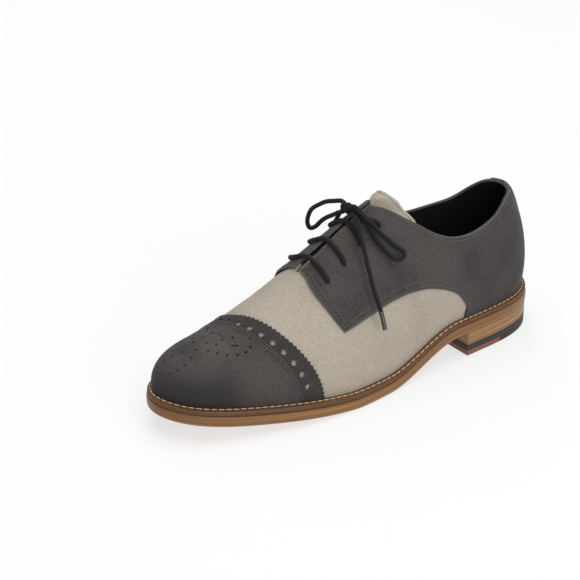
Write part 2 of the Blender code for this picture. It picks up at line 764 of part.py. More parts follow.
def build_quarters(mats):
    for side, name in ((1, "quarter_lateral"), (-1, "quarter_medial")):
        q, v = quarter_grid(side)
        skin = Skin([(q, v, side, side < 0)])
        # the front flap stands a little off the vamp and tongue
        flap = np.clip((skin.v[:, 1] - 135.0) / 45.0, 0, 1)
        lift = 1.6 * flap * np.clip((skin.v[:, 2] - 55.0) / 20.0, 0, 1)
        verts, faces = skin.solid(OVER_GAP + OVER_T + lift, OVER_GAP + lift)
        flatten(verts, skin, GAP)
        mesh_object(name, verts, faces, mats["grey"])


def tongue_rise(p):
    """How far the tongue stands off the instep inside the collar's front."""
    half = np.interp(p[..., 1], (118.0, 122.0, 126.0, 130.0, 134.0), (13.0, 11.0, 8.3, 5.0, 1.6))
    return TONGUE_RISE * np.interp(half - abs(p[..., 0] - 0.8), (1.0, 7.0), (0.0, 1.0))


def build_tongue(mats):
    """The tongue lies under the facings and stands out over the collar."""
    patches = []
    q_front, q_top = square(197.0), square(121.8)
    t = np.linspace(0, 1, 13)
    a = np.linspace(0, 1, 9)
    for side in (1, -1):
        reach = np.interp(t, (0, 0.3, 0.7, 1), (0.26, 0.34, 0.42, 0.42))
        v = 1 - a[None, :] * reach[:, None]
        # the top end runs back to its corners, which are rounded
        end = q_top - 0.095 * a ** 1.7 + 0.05 * a ** 16
        q = q_front + (end[None, :] - q_front) * t[:, None]
        patches.append((q, v, side, side < 0))
    skin = Skin(patches)
    # above the facings the tongue stands up and away from the instep
    rise = tongue_rise(skin.v)
    verts, faces = skin.solid(rise - WALL - 1.2, rise - WALL - 1.2 - TONGUE_T)
    mesh_object("tongue", verts, faces, mats["vamp"])


def build_laces(mats):
    for k, (q, v) in enumerate(EYELETS):
        half = []
        for side in (1, -1):
            edge = LAST.open_edge(side, [q])[0]
            t = np.linspace(v + BAR_END, edge, 5)
            half.append(over(side, np.full(5, q), t, np.full(5, LACE_OVER)))
        route = np.r_[half[0], half[1][::-1]]
        tube("lace_bar_%d" % (k + 1), along(route, 14), LACE_D, mats["lace"])
    a = np.linspace(0, KNOT_TURNS * 2 * np.pi, 30)
    helix = np.stack([(a / (2 * np.pi) - KNOT_TURNS / 2) * KNOT_PITCH,
                      KNOT_R * np.sin(a), KNOT_R * np.cos(a)], -1)
    tube("lace_knot", helix + np.array(KNOT_AT), LACE_D, mats["lace"])
    tube("lace_loop_lateral", along(LOOP_LATERAL, 26), LACE_D, mats["lace"])
    tube("lace_loop_medial", along(LOOP_MEDIAL, 26), LACE_D, mats["lace"])
    for side, name in ((1, "lateral"), (-1, "medial")):
        t = np.array(LACE_END[name])
        route = np.r_[[END_START[name]], over(side, t[:, 0], t[:, 1], t[:, 2])]
        tube("lace_end_" + name, along(route, 22), LACE_D, mats["lace"])


def main():
    for ob in list(bpy.data.objects):
        bpy.data.objects.remove(ob, do_unlink=True)
    mats = {"sole": material("sole_leather", (0.30, 0.155, 0.07), 0.5),
            "stack": material("heel_leather", (0.30, 0.155, 0.07), 0.5),
            "welt": material("welt_leather", (0.11, 0.052, 0.025), 0.5),
            "rubber": material("rubber", (0.025, 0.026, 0.024), 0.6),
            "top_piece": material("top_piece_leather", (0.16, 0.07, 0.04), 0.6),
            "lining": material("lining", (0.012, 0.012, 0.013), 0.7),
            "vamp": material("stone_suede", (0.41, 0.37, 0.30), 0.9),
            "grey": material("grey_suede", (0.065, 0.062, 0.063), 0.9),
            "lace": material("lace", (0.016, 0.016, 0.018), 0.8)}
    build_sole(mats)
    build_heel(mats)
    build_upper(mats)
    build_cap(mats)
    build_quarters(mats)
    build_tongue(mats)
    build_laces(mats)


main()
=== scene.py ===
"""Looks of the left spectator derby shoe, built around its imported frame.

Sizes below are in millimetres on the last: s runs from the back of the heel to
the toe, x is positive on the outer side, z is the height over the ground.
"""
import math
import bpy
import bmesh
import numpy as np
from mathutils import Matrix, Vector


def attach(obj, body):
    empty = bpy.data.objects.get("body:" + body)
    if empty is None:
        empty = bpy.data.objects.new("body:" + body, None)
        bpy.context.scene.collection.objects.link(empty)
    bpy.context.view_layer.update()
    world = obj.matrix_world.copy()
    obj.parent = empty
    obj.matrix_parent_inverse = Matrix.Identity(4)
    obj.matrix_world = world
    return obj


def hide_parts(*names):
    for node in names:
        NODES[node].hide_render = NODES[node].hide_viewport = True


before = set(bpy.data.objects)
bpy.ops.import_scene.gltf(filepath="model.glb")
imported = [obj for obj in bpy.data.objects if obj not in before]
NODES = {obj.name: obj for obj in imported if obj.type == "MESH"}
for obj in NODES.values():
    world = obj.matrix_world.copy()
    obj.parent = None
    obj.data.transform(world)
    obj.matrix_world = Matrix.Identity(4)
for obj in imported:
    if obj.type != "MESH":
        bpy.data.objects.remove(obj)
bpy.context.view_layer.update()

# ------------------------------------------------------------ driving sizes, mm
LENGTH = 299.4          # sole, back of the heel to toe tip
HEEL_POLE = 46.0        # heel sections fan out about this s
TOE_POLE = 247.0        # toe sections fan out about this s
SOLE_T = 7.2            # outsole
WELT_T = 3.2            # welt, over the outsole
HEEL_LEN = 76.0         # breast of the heel
SEAT_Z = 17.1           # underside of the outsole over the heel
TOP_PIECE_T = 3.9       # leather front of the heel's top piece
RUBBER_T = 3.9          # rubber layer over it
RUBBER_FRONT = 44.6     # the rubber fills the top piece from here back
INSOLE_T = 3.0
WALL = 2.2              # wall of the upper
GAP = 0.3               # between touching pieces
OVER_GAP = 0.7          # between the upper and an overlay
OVER_T = 1.1            # cap and quarter leather
TONGUE_T = 2.2
TONGUE_RISE = 2.6
LACE_D = 2.8            # round lace
X_SHIFT = 0.7           # centres the shoe's box on x = 0

# edge of the sole, half widths from the centre line
#            s     lateral medial
SOLE_PLAN = [(2.0,   9.5,  -9.5),
             (8.0,   19.5, -19.0),
             (20.0,  28.6, -27.6),
             (40.0,  34.9, -33.6),
             (60.0,  37.2, -35.6),
             (80.0,  38.7, -35.2),
             (100.0, 40.3, -34.0),
             (120.0, 42.9, -34.2),
             (140.0, 46.1, -37.6),
             (160.0, 49.4, -43.6),
             (180.0, 51.0, -49.6),
             (198.0, 50.4, -51.8),
             (218.0, 47.9, -50.0),
             (240.0, 43.2, -45.4),
             (260.0, 37.6, -38.7),
             (276.0, 31.0, -31.7),
             (288.0, 22.6, -23.8),
             (295.3, 13.4, -15.4)]
TOE_TIP_X = -0.7

# how far the sole and welt stand out beyond the upper
#              s     lateral medial
WELT_REACH = [(0.0,   4.3, 4.0),
              (60.0,  4.3, 4.2),
              (110.0, 3.8, 3.0),
              (150.0, 4.4, 3.5),
              (200.0, 5.5, 5.2),
              (250.0, 6.5, 2.8),
              (299.4, 5.9, 4.4)]

# underside of the sole: flat under the ball, a curve up to the toe, an arch
TOE_SPRING, SPRING_FROM, SPRING_POW = 14.4, 176.0, 1.22
ARCH_FROM, ARCH_TO = 149.0, 82.0

# line over the top of the foot
#          s      z      x
RIDGE = [(0.0,   121.0,  0.0),
         (46.0,  121.0,  0.0),
         (80.0,  121.5,  0.0),
         (105.0, 120.5, 0.2),
         (125.0, 117.0, 0.8),
         (145.0, 109.0, 1.0),
         (165.0, 97.5,  0.8),
         (185.0, 83.5,  -1.2),
         (205.0, 71.8,  -3.3),
         (225.0, 62.6,  -3.4),
         (247.0, 51.5,  -2.2),
         (299.4, 45.4,  0.0)]

# shape of a section: swell of the wall (mm), how far up it stays upright (share
# of its height), how flat it is on top (share of its width)
#            s    swell_l upright_l flat_l swell_m upright_m flat_m
SECTION = [(5.0,   8.0, 0.40, 0.68,  8.0, 0.40, 0.68),
           (30.0,  9.0, 0.43, 0.66,  9.0, 0.43, 0.54),
           (60.0,  5.0, 0.42, 0.64,  5.0, 0.42, 0.57),
           (100.0, 4.0, 0.42, 0.43,  4.0, 0.42, 0.47),
           (130.0, 4.0, 0.42, 0.32,  4.0, 0.42, 0.46),
           (160.0, 4.0, 0.42, 0.32,  4.0, 0.45, 0.44),
           (190.0, 4.0, 0.46, 0.38,  4.0, 0.50, 0.42),
           (220.0, 4.0, 0.51, 0.49,  4.0, 0.50, 0.40),
           (250.0, 4.0, 0.55, 0.54,  5.4, 0.56, 0.50),
           (275.0, 5.2, 0.56, 0.58, 11.4, 0.56, 0.54),
           (295.0, 3.0, 0.56, 0.55,  2.0, 0.56, 0.56)]

# top line of the collar, height over the ground by s along the foot
#           s      lateral medial
COLLAR = [(3.0,   99.4,  99.4),
          (10.0,  100.0, 97.8),
          (20.0,  100.0, 93.6),
          (27.0,  98.9,  90.6),
          (34.0,  96.3,  87.6),
          (46.0,  91.0,  84.8),
          (60.0,  86.3,  84.4),
          (75.0,  84.9,  84.8),
          (90.0,  88.2,  87.5),
          (100.0, 93.4,  93.0),
          (109.0, 99.8,  100.5),
          (118.0, 105.8, 106.5),
          (128.0, 111.8, 112.0),
          (134.0, 113.4, 114.5)]
# gap between the facings, half width either side of the ridge
#           s      half gap
THROAT = [(130.0, 1.2),
          (150.0, 1.3),
          (165.0, 1.6),
          (175.0, 2.2),
          (183.0, 3.6)]
THROAT_END = 190.0      # the throat closes in a round end here

# rear edge of the toe cap, as q of the last by height v of the section
#            v     lateral medial
CAP_EDGE = [(0.0,  1.775, 1.858),
            (0.1,  1.783, 1.868),
            (0.25, 1.802, 1.886),
            (0.4,  1.829, 1.904),
            (0.6,  1.865, 1.924),
            (0.8,  1.894, 1.930),
            (1.0,  1.918, 1.918)]

# lower edge of a quarter, from the tip of its front flap to the welt
#             q      v
QUARTER_LOW = [(1.665, 0.377),
               (1.605, 0.375),
               (1.522, 0.364),
               (1.438, 0.347),
               (1.355, 0.310),
               (1.272, 0.248),
               (1.200, 0.172),
               (1.160, 0.092),
               (1.146, 0.0)]
# front edge of a quarter's flap, tip to throat
#               v      q
QUARTER_FRONT = [(0.377, 1.667),
                 (0.470, 1.686),
                 (0.573, 1.701),
                 (0.723, 1.714),
                 (0.840, 1.710)]

# eyelets of a facing, on the upper's surface
#          q      v
EYELETS = [(1.662, 0.690),
           (1.596, 0.700),
           (1.524, 0.718),
           (1.440, 0.736)]

LACE_OVER = 5.2         # axis of a lace over the upper's own surface
BAR_END = 0.035         # a bar stops this much of v above its eyelet
# the knot is a short helix across the shoe
KNOT_AT = (0.5, 150.4, 114.6)          # x, s, z of its middle
KNOT_R, KNOT_PITCH, KNOT_TURNS = 2.3, 3.2, 2.2
# loops of the bow
#                x      s      z
LOOP_LATERAL = [(7.0,   147.6, 114.2),
                (10.6,  145.6, 111.0),
                (17.4,  143.9, 102.6),
                (22.8,  141.5, 95.3),
                (27.9,  137.2, 88.3),
                (30.6,  131.0, 84.6),
                (30.2,  127.0, 87.0),
                (27.0,  129.6, 90.8),
                (23.4,  134.6, 96.2),
                (20.0,  139.4, 101.6),
                (17.0,  143.4, 107.8),
                (11.8,  147.8, 113.6),
                (7.0,   150.2, 117.8)]
LOOP_MEDIAL = [(-6.2,  150.4, 117.6),
               (-9.6,  153.4, 117.6),
               (-14.0, 156.2, 116.6),
               (-19.0, 158.8, 113.3),
               (-23.0, 161.4, 109.2),
               (-25.5, 162.4, 103.5),
               (-26.0, 162.8, 97.9),
               (-24.8, 161.5, 94.4),
               (-21.8, 159.7, 96.4),
               (-18.0, 158.7, 101.7),
               (-13.5, 156.7, 107.4),
               (-9.2,  155.0, 111.2),
               (-5.4,  154.0, 113.8)]
# where the hanging ends leave the knot
#                    x      s      z
END_START = {"lateral": (6.8,  152.8, 113.8),
             "medial": (-6.0, 148.8, 112.4)}
# hanging ends, on the upper's surface and the height of the axis over it
#                        q      v      over
LACE_END = {"lateral": [(1.512, 0.880, 9.2),
                        (1.518, 0.830, 9.2),
                        (1.528, 0.760, 9.2),
                        (1.537, 0.680, 9.0),
                        (1.545, 0.582, 8.4),
                        (1.551, 0.486, 8.4),
                        (1.549, 0.385, 8.6),
                        (1.550, 0.293, 8.8)],
            "medial":  [(1.486, 0.900, 5.4),
                        (1.486, 0.820, 4.8),
                        (1.488, 0.740, 4.6),
                        (1.490, 0.640, 4.6),
                        (1.494, 0.550, 4.6),
                        (1.500, 0.460, 4.6),
                        (1.504, 0.370, 4.6),
                        (1.508, 0.280, 4.6)]}


# ------------------------------------------------------------ smooth curves
def curve(xs, ys, x, closed=False):
    """Smooth curve through the rows (xs, ys), read at x."""
    xs = np.asarray(xs, float)
    ys = np.asarray(ys, float)
    if ys.ndim == 1:
        ys = ys[:, None]
    n, h = len(xs), np.diff(xs)
    A, B = np.zeros((n, n)), np.zeros((n, ys.shape[1]))
    for i in range(1, n - 1):
        A[i, i - 1:i + 2] = h[i - 1], 2 * (h[i - 1] + h[i]), h[i]
        B[i] = 6 * ((ys[i + 1] - ys[i]) / h[i] - (ys[i] - ys[i - 1]) / h[i - 1])
    if closed:
        A[0, 0], A[0, n - 1] = 1, -1
        A[n - 1, n - 2], A[n - 1, n - 1] = h[-1], 2 * h[-1]
        A[n - 1, 0] += 2 * h[0]
        A[n - 1, 1] += h[0]
        B[n - 1] = 6 * ((ys[1] - ys[0]) / h[0] - (ys[n - 1] - ys[n - 2]) / h[-1])
    else:
        A[0, 0] = A[n - 1, n - 1] = 1
    M = np.linalg.solve(A, B)
    x = np.asarray(x, float)
    if closed:
        x = xs[0] + np.mod(x - xs[0], xs[-1] - xs[0])
    else:
        x = np.clip(x, xs[0], xs[-1])
    k = np.clip(np.searchsorted(xs, x, side="right") - 1, 0, n - 2)
    a, b, hk = (xs[k + 1] - x)[..., None], (x - xs[k])[..., None], h[k][..., None]
    return ((M[k] * a ** 3 + M[k + 1] * b ** 3) / (6 * hk)
            + (ys[k] / hk - M[k] * hk / 6) * a + (ys[k + 1] / hk - M[k + 1] * hk / 6) * b)


def column(table, x, *cols):
    """Columns of a table as smooth functions of its first column."""
    t = np.array(table, float)
    r = curve(t[:, 0], t[:, list(cols)], x)
    return r[..., 0] if len(cols) == 1 else r


def along(points, n):
    """n points evenly along a smooth curve through the given ones."""
    p = np.array(points, float)
    c = np.r_[0, np.cumsum(np.linalg.norm(np.diff(p, axis=0), axis=1))]
    fine = curve(c, p, np.linspace(0, c[-1], 400))
    d = np.r_[0, np.cumsum(np.linalg.norm(np.diff(fine, axis=0), axis=1))]
    t = np.linspace(0, d[-1], n)
    return np.stack([np.interp(t, d, fine[:, k]) for k in range(p.shape[1])], -1)


# ------------------------------------------------------------ plan of the sole
def sole_edge(n=2880):
    """Outline of the sole in (x, s): heel back, lateral side, toe, medial side."""
    lat = [(r[1], r[0]) for r in SOLE_PLAN]
    med = [(r[2], r[0]) for r in reversed(SOLE_PLAN)]
    p = np.array([(0.0, 0.0)] + lat + [(TOE_TIP_X, LENGTH)] + med + [(0.0, 0.0)])
    c = np.r_[0, np.cumsum(np.hypot(*np.diff(p, axis=0).T))]
    return curve(c, p, np.linspace(0, c[-1], n + 1)[:-1], closed=True)


def outward(p):
    """Unit normals of that outline."""
    t = np.roll(p, -1, 0) - np.roll(p, 1, 0)
    n = np.stack([t[:, 1], -t[:, 0]], -1)
    return n / np.hypot(n[:, 0], n[:, 1])[:, None]


def side_mix(p):
    """1 on the lateral side, 0 on the medial side, smooth round heel and toe."""
    c = np.interp(p[:, 1], (0, LENGTH), (0.0, TOE_TIP_X))
    w = np.clip(0.5 + (p[:, 0] - c) / 24.0, 0, 1)
    return w * w * (3 - 2 * w)


def feather_line(n=2880, inset=0.0):
    """Where the upper meets the welt."""
    p = sole_edge(n)
    w = side_mix(p)
    r = column(WELT_REACH, p[:, 1], 1, 2)
    return p - outward(p) * (r[:, 0] * w + r[:, 1] * (1 - w) + inset)[:, None]


def under_z(s):
    """Underside of the outsole above the ground."""
    s = np.asarray(s, float)
    toe = TOE_SPRING * np.clip((s - SPRING_FROM) / (LENGTH - SPRING_FROM), 0, 1) ** SPRING_POW
    t = np.clip((ARCH_FROM - s) / (ARCH_FROM - ARCH_TO), 0, 1)
    return toe + SEAT_Z * (3 * t * t - 2 * t ** 3)


def seat_z(s):
    """Top of the welt, where the upper stands."""
    return under_z(s) + SOLE_T + WELT_T


# ------------------------------------------------------------ the last
class Last:
    """Sections fan round the heel (q 0-1), run square across (1-2) and fan
    round the toe (2-3).  Along a section v runs from the welt (0) to the
    ridge (1).  side is +1 lateral, -1 medial."""

    def __init__(self):
        self.line = feather_line()
        k = int(np.argmax(self.line[:, 1]))
        self.half = {1: self.line[:k + 1], -1: np.r_[self.line[k:], self.line[:1]][::-1]}
        self.shape = np.array(SECTION, float)

    def plan(self, side, q):
        """Feather point and spine point of a section, both (x, s)."""
        q = np.asarray(q, float)
        g = self.half[side]
        foot, spine = np.zeros(q.shape + (2,)), np.zeros(q.shape + (2,))
        for fan, pole_s in ((0, HEEL_POLE), (2, TOE_POLE)):
            pole = np.array([float(column(RIDGE, pole_s, 2)), pole_s])
            d = self.line - pole
            sign = -1.0 if fan == 0 else 1.0
            ang = np.arctan2(side * d[:, 0], sign * d[:, 1])
            turn = np.clip(q, 0, 1) if fan == 0 else 3 - np.clip(q, 2, 3)
            m = (q < 1) if fan == 0 else (q >= 2)
            o = np.argsort(ang)
            r = np.interp(turn * np.pi / 2, ang[o], np.hypot(d[:, 0], d[:, 1])[o])
            a = turn * np.pi / 2
            foot[m] = (pole + np.stack([side * np.sin(a) * r, sign * np.cos(a) * r], -1))[m]
            spine[m] = pole
        m = (q >= 1) & (q < 2)
        s = HEEL_POLE + (np.clip(q, 1, 2) - 1) * (TOE_POLE - HEEL_POLE)
        x = np.interp(s, g[:, 1], g[:, 0])
        foot[m] = np.stack([x, s], -1)[m]
        spine[m] = np.stack([column(RIDGE, s, 2), s], -1)[m]
        return foot, spine

    def point(self, side, q, v):
        """Point of the surface, (x, s, z)."""
        q, v = np.broadcast_arrays(np.asarray(q, float), np.asarray(v, float))
        foot, spine = self.plan(side, q)
        d = spine - foot
        r = np.hypot(d[..., 0], d[..., 1])
        d = d / r[..., None]
        z0 = seat_z(foot[..., 1])
        rise = column(RIDGE, spine[..., 1], 1) - z0
        slope = (column(RIDGE, spine[..., 1] + 2, 1) - column(RIDGE, spine[..., 1] - 2, 1)) / 4.0
        c = curve(self.shape[:, 0], self.shape[:, 1:], np.clip(foot[..., 1], 5, 295))
        mine, other = (c[..., :3], c[..., 3:]) if side > 0 else (c[..., 3:], c[..., :3])
        e = np.clip(np.where(q > 2, 3 - q, np.where(q < 1, q, 1.0)), 0, 1)
        w = (0.5 + 0.5 * np.sin(e * np.pi / 2))[..., None]
        swell, upright, flat = np.moveaxis(mine * w + other * (1 - w), -1, 0)
        a1, a2, a3 = 3 * v * (1 - v) ** 2, 3 * v * v * (1 - v), v ** 3
        n = -a1 * swell + a2 * r * (1 - flat) + a3 * r
        z = a1 * upright * rise + a2 * (rise - slope * d[..., 1] * r * flat) + a3 * rise
        return np.concatenate([foot + d * n[..., None], (z0 + z)[..., None]], -1)

    def normal(self, side, q, v, e=0.004):
        """Outward unit normal of the surface, in (x, s, z)."""
        q, v = np.broadcast_arrays(np.asarray(q, float), np.asarray(v, float))
        v = np.clip(v, 0.0, 1 - 2 * e)
        u = np.clip(q, 0.0, 3.0 - e)
        du = self.point(side, u + e, v) - self.point(side, u, v)
        dv = self.point(side, u, v + e) - self.point(side, u, v)
        n = np.cross(du, dv) * side
        return n / np.maximum(np.linalg.norm(n, axis=-1), 1e-12)[..., None]

    def open_edge(self, side, q):
        """v where the upper ends at the collar or the facing; 1 over the vamp."""
        q = np.atleast_1d(np.asarray(q, float))
        v = np.linspace(0, 1, 241)
        p = self.point(side, q[:, None], v[None, :])
        s = self.plan(side, q)[0][:, 1]
        both = column(COLLAR, s, 1, 2)
        w = 0.5 + 0.5 * np.sin(np.clip(q, 0, 1) * np.pi / 2)
        top = np.where(side > 0, w * both[:, 0] + (1 - w) * both[:, 1],
                       w * both[:, 1] + (1 - w) * both[:, 0])
        ridge = self.plan(side, q)[1]
        half = column(THROAT, ridge[:, 1], 1)
        close = np.clip((THROAT_END - ridge[:, 1]) / 9.0, 0, 1)
        half = half * np.sqrt(np.maximum(1 - (1 - close) ** 2, 0))
        out = np.ones(len(q))
        for i in range(len(q)):
            if ridge[i, 1] >= THROAT_END:
                continue
            a = 1.0
            if ridge[i, 1] > 100.0:
                a = np.interp(half[i], (side * (p[i, :, 0] - ridge[i, 0]))[::-1], v[::-1])
            b = np.interp(top[i], p[i, :, 2], v) if s[i] < 134.0 else 1.0
            k = 0.03
            h = np.clip(0.5 + 0.5 * (b - a) / k, 0, 1)
            out[i] = b * (1 - h) + a * h - k * h * (1 - h)
        return out


def over(side, q, v, d):
    """Point at a height over the surface, (x, s, z)."""
    return LAST.point(side, q, v) + LAST.normal(side, q, v) * np.asarray(d)[..., None]


def square(s):
    """q of the square section at s."""
    return 1 + (s - HEEL_POLE) / (TOE_POLE - HEEL_POLE)


LAST = Last()


GREY, BEIGE, BLACK = "grey_suede", "stone_suede", "lining"


def place(p):
    """(x, s, z) in millimetres to the shoe's frame in metres."""
    p = np.asarray(p, float)
    return np.stack([p[..., 0] + X_SHIFT, LENGTH / 2 - p[..., 1], p[..., 2]], -1) * 0.001


# ------------------------------------------------------------ camera
AZ, EL, DIST = math.radians(54.079), math.radians(26.701), 1200.0
FOCAL = 1803.537                      # in pixels of a 580 pixel frame
cam_r = np.array([math.cos(AZ), math.sin(AZ), 0.0])
cam_b = np.array([math.sin(AZ) * math.cos(EL), -math.cos(AZ) * math.cos(EL), math.sin(EL)])
cam_u = np.cross(cam_b, cam_r)
shift = np.array([X_SHIFT, LENGTH / 2 - 151.0, 0.0])
cam_at = (cam_r * -36.122 + cam_u * 50.216 + cam_b * DIST + shift) * 0.001
cam_data = bpy.data.cameras.new("camera")
cam_data.sensor_width = 36.0
cam_data.lens = FOCAL / 580.0 * 36.0
cam_data.clip_start = 0.05
cam = bpy.data.objects.new("camera", cam_data)
bpy.context.scene.collection.objects.link(cam)
m4 = Matrix.Identity(4)
for row in range(3):
    for col, axis in enumerate((cam_r, cam_u, cam_b)):
        m4[row][col] = axis[row]
    m4[row][3] = cam_at[row]
cam.matrix_world = m4
bpy.context.scene.camera = cam


# ------------------------------------------------------------ materials
class Nodes:
    """Small helper to lay out a node material."""

    def __init__(self, name, rough=0.8):
        self.mat = bpy.data.materials.new(name)
        self.mat.use_nodes = True
        self.tree = self.mat.node_tree
        self.bsdf = self.tree.nodes["Principled BSDF"]
        self.bsdf.inputs["Roughness"].default_value = rough
        self.coord = self.tree.nodes.new("ShaderNodeTexCoord").outputs["Object"]

    def set(self, socket, value):
        self.bsdf.inputs[socket].default_value = value

    def scaled(self, x, y, z):
        n = self.tree.nodes.new("ShaderNodeMapping")
        n.inputs["Scale"].default_value = (x, y, z)
        self.tree.links.new(self.coord, n.inputs["Vector"])
        return n.outputs["Vector"]

    def noise(self, scale, detail=4.0, rough=0.55, vector=None, distortion=0.0):
        n = self.tree.nodes.new("ShaderNodeTexNoise")
        n.inputs["Scale"].default_value = scale
        n.inputs["Detail"].default_value = detail
        n.inputs["Roughness"].default_value = rough
        n.inputs["Distortion"].default_value = distortion
        self.tree.links.new(vector or self.coord, n.inputs["Vector"])
        return n.outputs["Fac"]

    def ramp(self, fac, stops):
        n = self.tree.nodes.new("ShaderNodeValToRGB")
        while len(n.color_ramp.elements) < len(stops):
            n.color_ramp.elements.new(0.5)
        for e, (pos, col) in zip(n.color_ramp.elements, stops):
            e.position = pos
            e.color = (*col, 1.0) if len(col) == 3 else col
        self.tree.links.new(fac, n.inputs["Fac"])
        return n.outputs["Color"]

    def mix(self, fac, a, b, mode="MIX"):
        n = self.tree.nodes.new("ShaderNodeMix")
        n.data_type = "RGBA"
        n.blend_type = mode
        for key, val in (("Factor", fac), ("A", a), ("B", b)):
            sock = [s for s in n.inputs if s.name == key and s.enabled][0]
            if isinstance(val, (int, float)):
                sock.default_value = val
            elif isinstance(val, tuple):
                sock.default_value = (*val, 1.0)
            else:
                self.tree.links.new(val, sock)
        return [s for s in n.outputs if s.enabled][0]

    def math(self, op, a, b):
        n = self.tree.nodes.new("ShaderNodeMath")
        n.operation = op
        for k, val in enumerate((a, b)):
            if isinstance(val, (int, float)):
                n.inputs[k].default_value = val
            else:
                self.tree.links.new(val, n.inputs[k])
        return n.outputs[0]

    def colour(self, socket):
        self.tree.links.new(socket, self.bsdf.inputs["Base Color"])

    def bump(self, height, strength, distance):
        n = self.tree.nodes.new("ShaderNodeBump")
        n.inputs["Strength"].default_value = strength
        n.inputs["Distance"].default_value = distance
        self.tree.links.new(height, n.inputs["Height"])
        self.tree.links.new(n.outputs["Normal"], self.bsdf.inputs["Normal"])

    def layer(self, name):
        n = self.tree.nodes.new("ShaderNodeAttribute")
        n.attribute_name = name
        return n.outputs["Fac"]


def tone(c, k):
    return tuple(min(1.0, v * k) for v in c)


def suede(name, base, tint, spread=0.14, nap=0.5, wear_and_highlight=None, grain=(0.46, 1.72), shade=None):
    n = Nodes(name, 0.95)
    cloud = n.noise(46.0, 3.0, 0.5)
    fine = n.noise(1050.0, 3.0, 0.75)
    c = n.ramp(cloud, [(0.3, tone(base, 1 - spread)), (0.7, tone(base, 1 + spread))])
    drift = n.noise(23.0, 2.0, 0.5)
    c = n.mix(n.ramp(drift, [(0.42, (0.0,) * 3), (0.58, (0.7,) * 3)]), c, tint)
    c = n.mix(0.6, c, n.ramp(fine, [(0.34, tone(base, grain[0])), (0.66, tone(base, grain[1]))]))
    # painted shade: mixes towards the shade colour where the shade attribute is set
    if shade:
        c = n.mix(n.layer("shade"), c, shade)
    # worn colour: real wear on cut edges, and a painted highlight on the toe cap's top
    if wear_and_highlight:
        c = n.mix(n.layer("edge"), c, wear_and_highlight)
    n.colour(c)
    n.set("Sheen Weight", 0.08)
    n.set("Sheen Roughness", 0.5)
    n.set("Specular IOR Level", 0.15)
    n.bump(n.math("ADD", n.noise(1300.0, 2.0, 0.7), n.math("MULTIPLY", n.noise(620.0, 3.0, 0.6), 0.8)),
           nap, 0.00026)
    return n.mat


def grain_edge(name, low, high, dark, rough=0.42, follow=True):
    """Pressed leather edge with fine streaks that run along the sole."""
    n = Nodes(name, rough)
    if follow:
        part = n.tree.nodes.new("ShaderNodeSeparateXYZ")
        n.tree.links.new(n.coord, part.inputs[0])
        join = n.tree.nodes.new("ShaderNodeCombineXYZ")
        n.tree.links.new(part.outputs[0], join.inputs[0])
        n.tree.links.new(part.outputs[1], join.inputs[1])
        n.tree.links.new(n.layer("height"), join.inputs[2])
        n.coord = join.outputs[0]
    streak = n.noise(1.0, 6.0, 0.62, n.scaled(14.0, 14.0, 1300.0))
    broad = n.noise(1.0, 2.0, 0.5, n.scaled(5.0, 5.0, 520.0))
    c = n.ramp(streak, [(0.30, low), (0.50, tone(high, 0.80)), (0.72, high)])
    c = n.mix(n.ramp(broad, [(0.42, (0.7,) * 3), (0.60, (0.0,) * 3)]), c, dark)
    if follow:         # the lowest and the highest bands of the edge are darker
        h = n.layer("height")
        rim = n.ramp(n.math("MULTIPLY", h, 100.0),
                     [(0.0, (0.55,) * 3), (0.11, (0.0,) * 3), (0.58, (0.0,) * 3), (0.68, (0.85,) * 3)])
        c = n.mix(rim, c, dark)
    n.colour(c)
    n.set("Specular IOR Level", 0.4)
    n.bump(streak, 0.35, 0.00022)
    return n.mat


def plain(name, base, rough, scale=1200.0, amount=0.18, bump=0.25, distance=0.00012, spec=0.4):
    n = Nodes(name, rough)
    f = n.noise(scale, 3.0, 0.6)
    n.colour(n.ramp(f, [(0.3, tone(base, 1 - amount)), (0.7, tone(base, 1 + amount))]))
    n.set("Specular IOR Level", spec)
    n.bump(f, bump, distance)
    return n.mat


# the grey suede's shade colour is painted shade; its worn colour also paints a highlight on the toe cap's top
M_GREY = suede("suede_grey", (0.0505, 0.0459, 0.0446), (0.0800, 0.0665, 0.0620), 0.60, 0.6, wear_and_highlight=(0.12, 0.113, 0.108), shade=(0.0235, 0.0222, 0.0222))
M_BEIGE = suede("suede_stone", (0.345, 0.305, 0.250), (0.375, 0.330, 0.268), 0.16, 0.45, wear_and_highlight=(0.48, 0.43, 0.36), grain=(0.68, 1.34))
M_LINING = plain("lining_leather", (0.0075, 0.0075, 0.008), 0.55, 700.0, 0.2, 0.2)
M_BACKING = plain("cap_backing", (0.012, 0.011, 0.011), 0.9)
M_SOLE = grain_edge("sole_edge_leather", (0.170, 0.075, 0.020), (0.365, 0.172, 0.052), (0.115, 0.050, 0.0135))
M_HEEL = grain_edge("heel_edge_leather", (0.190, 0.089, 0.028), (0.385, 0.200, 0.073), (0.145, 0.066, 0.020), follow=False)
M_UNDER = plain("sole_underside_leather", (0.33, 0.19, 0.10), 0.5, 160.0, 0.12, 0.2)
M_WELT = plain("welt_leather", (0.096, 0.0390, 0.0100), 0.5, 600.0, 0.25, 0.35, 0.0002)
M_RUBBER = plain("heel_rubber", (0.020, 0.021, 0.020), 0.6, 900.0, 0.2, 0.3)
M_TOP_PIECE = plain("top_piece_leather", (0.17, 0.075, 0.042), 0.6, 700.0, 0.2, 0.3)
M_THREAD = plain("welt_thread", (0.47, 0.345, 0.20), 0.7, 1400.0, 0.3, 0.5)
M_GREY_THREAD = plain("grey_thread", (0.098, 0.092, 0.085), 0.6, 2600.0, 0.2, 0.4)
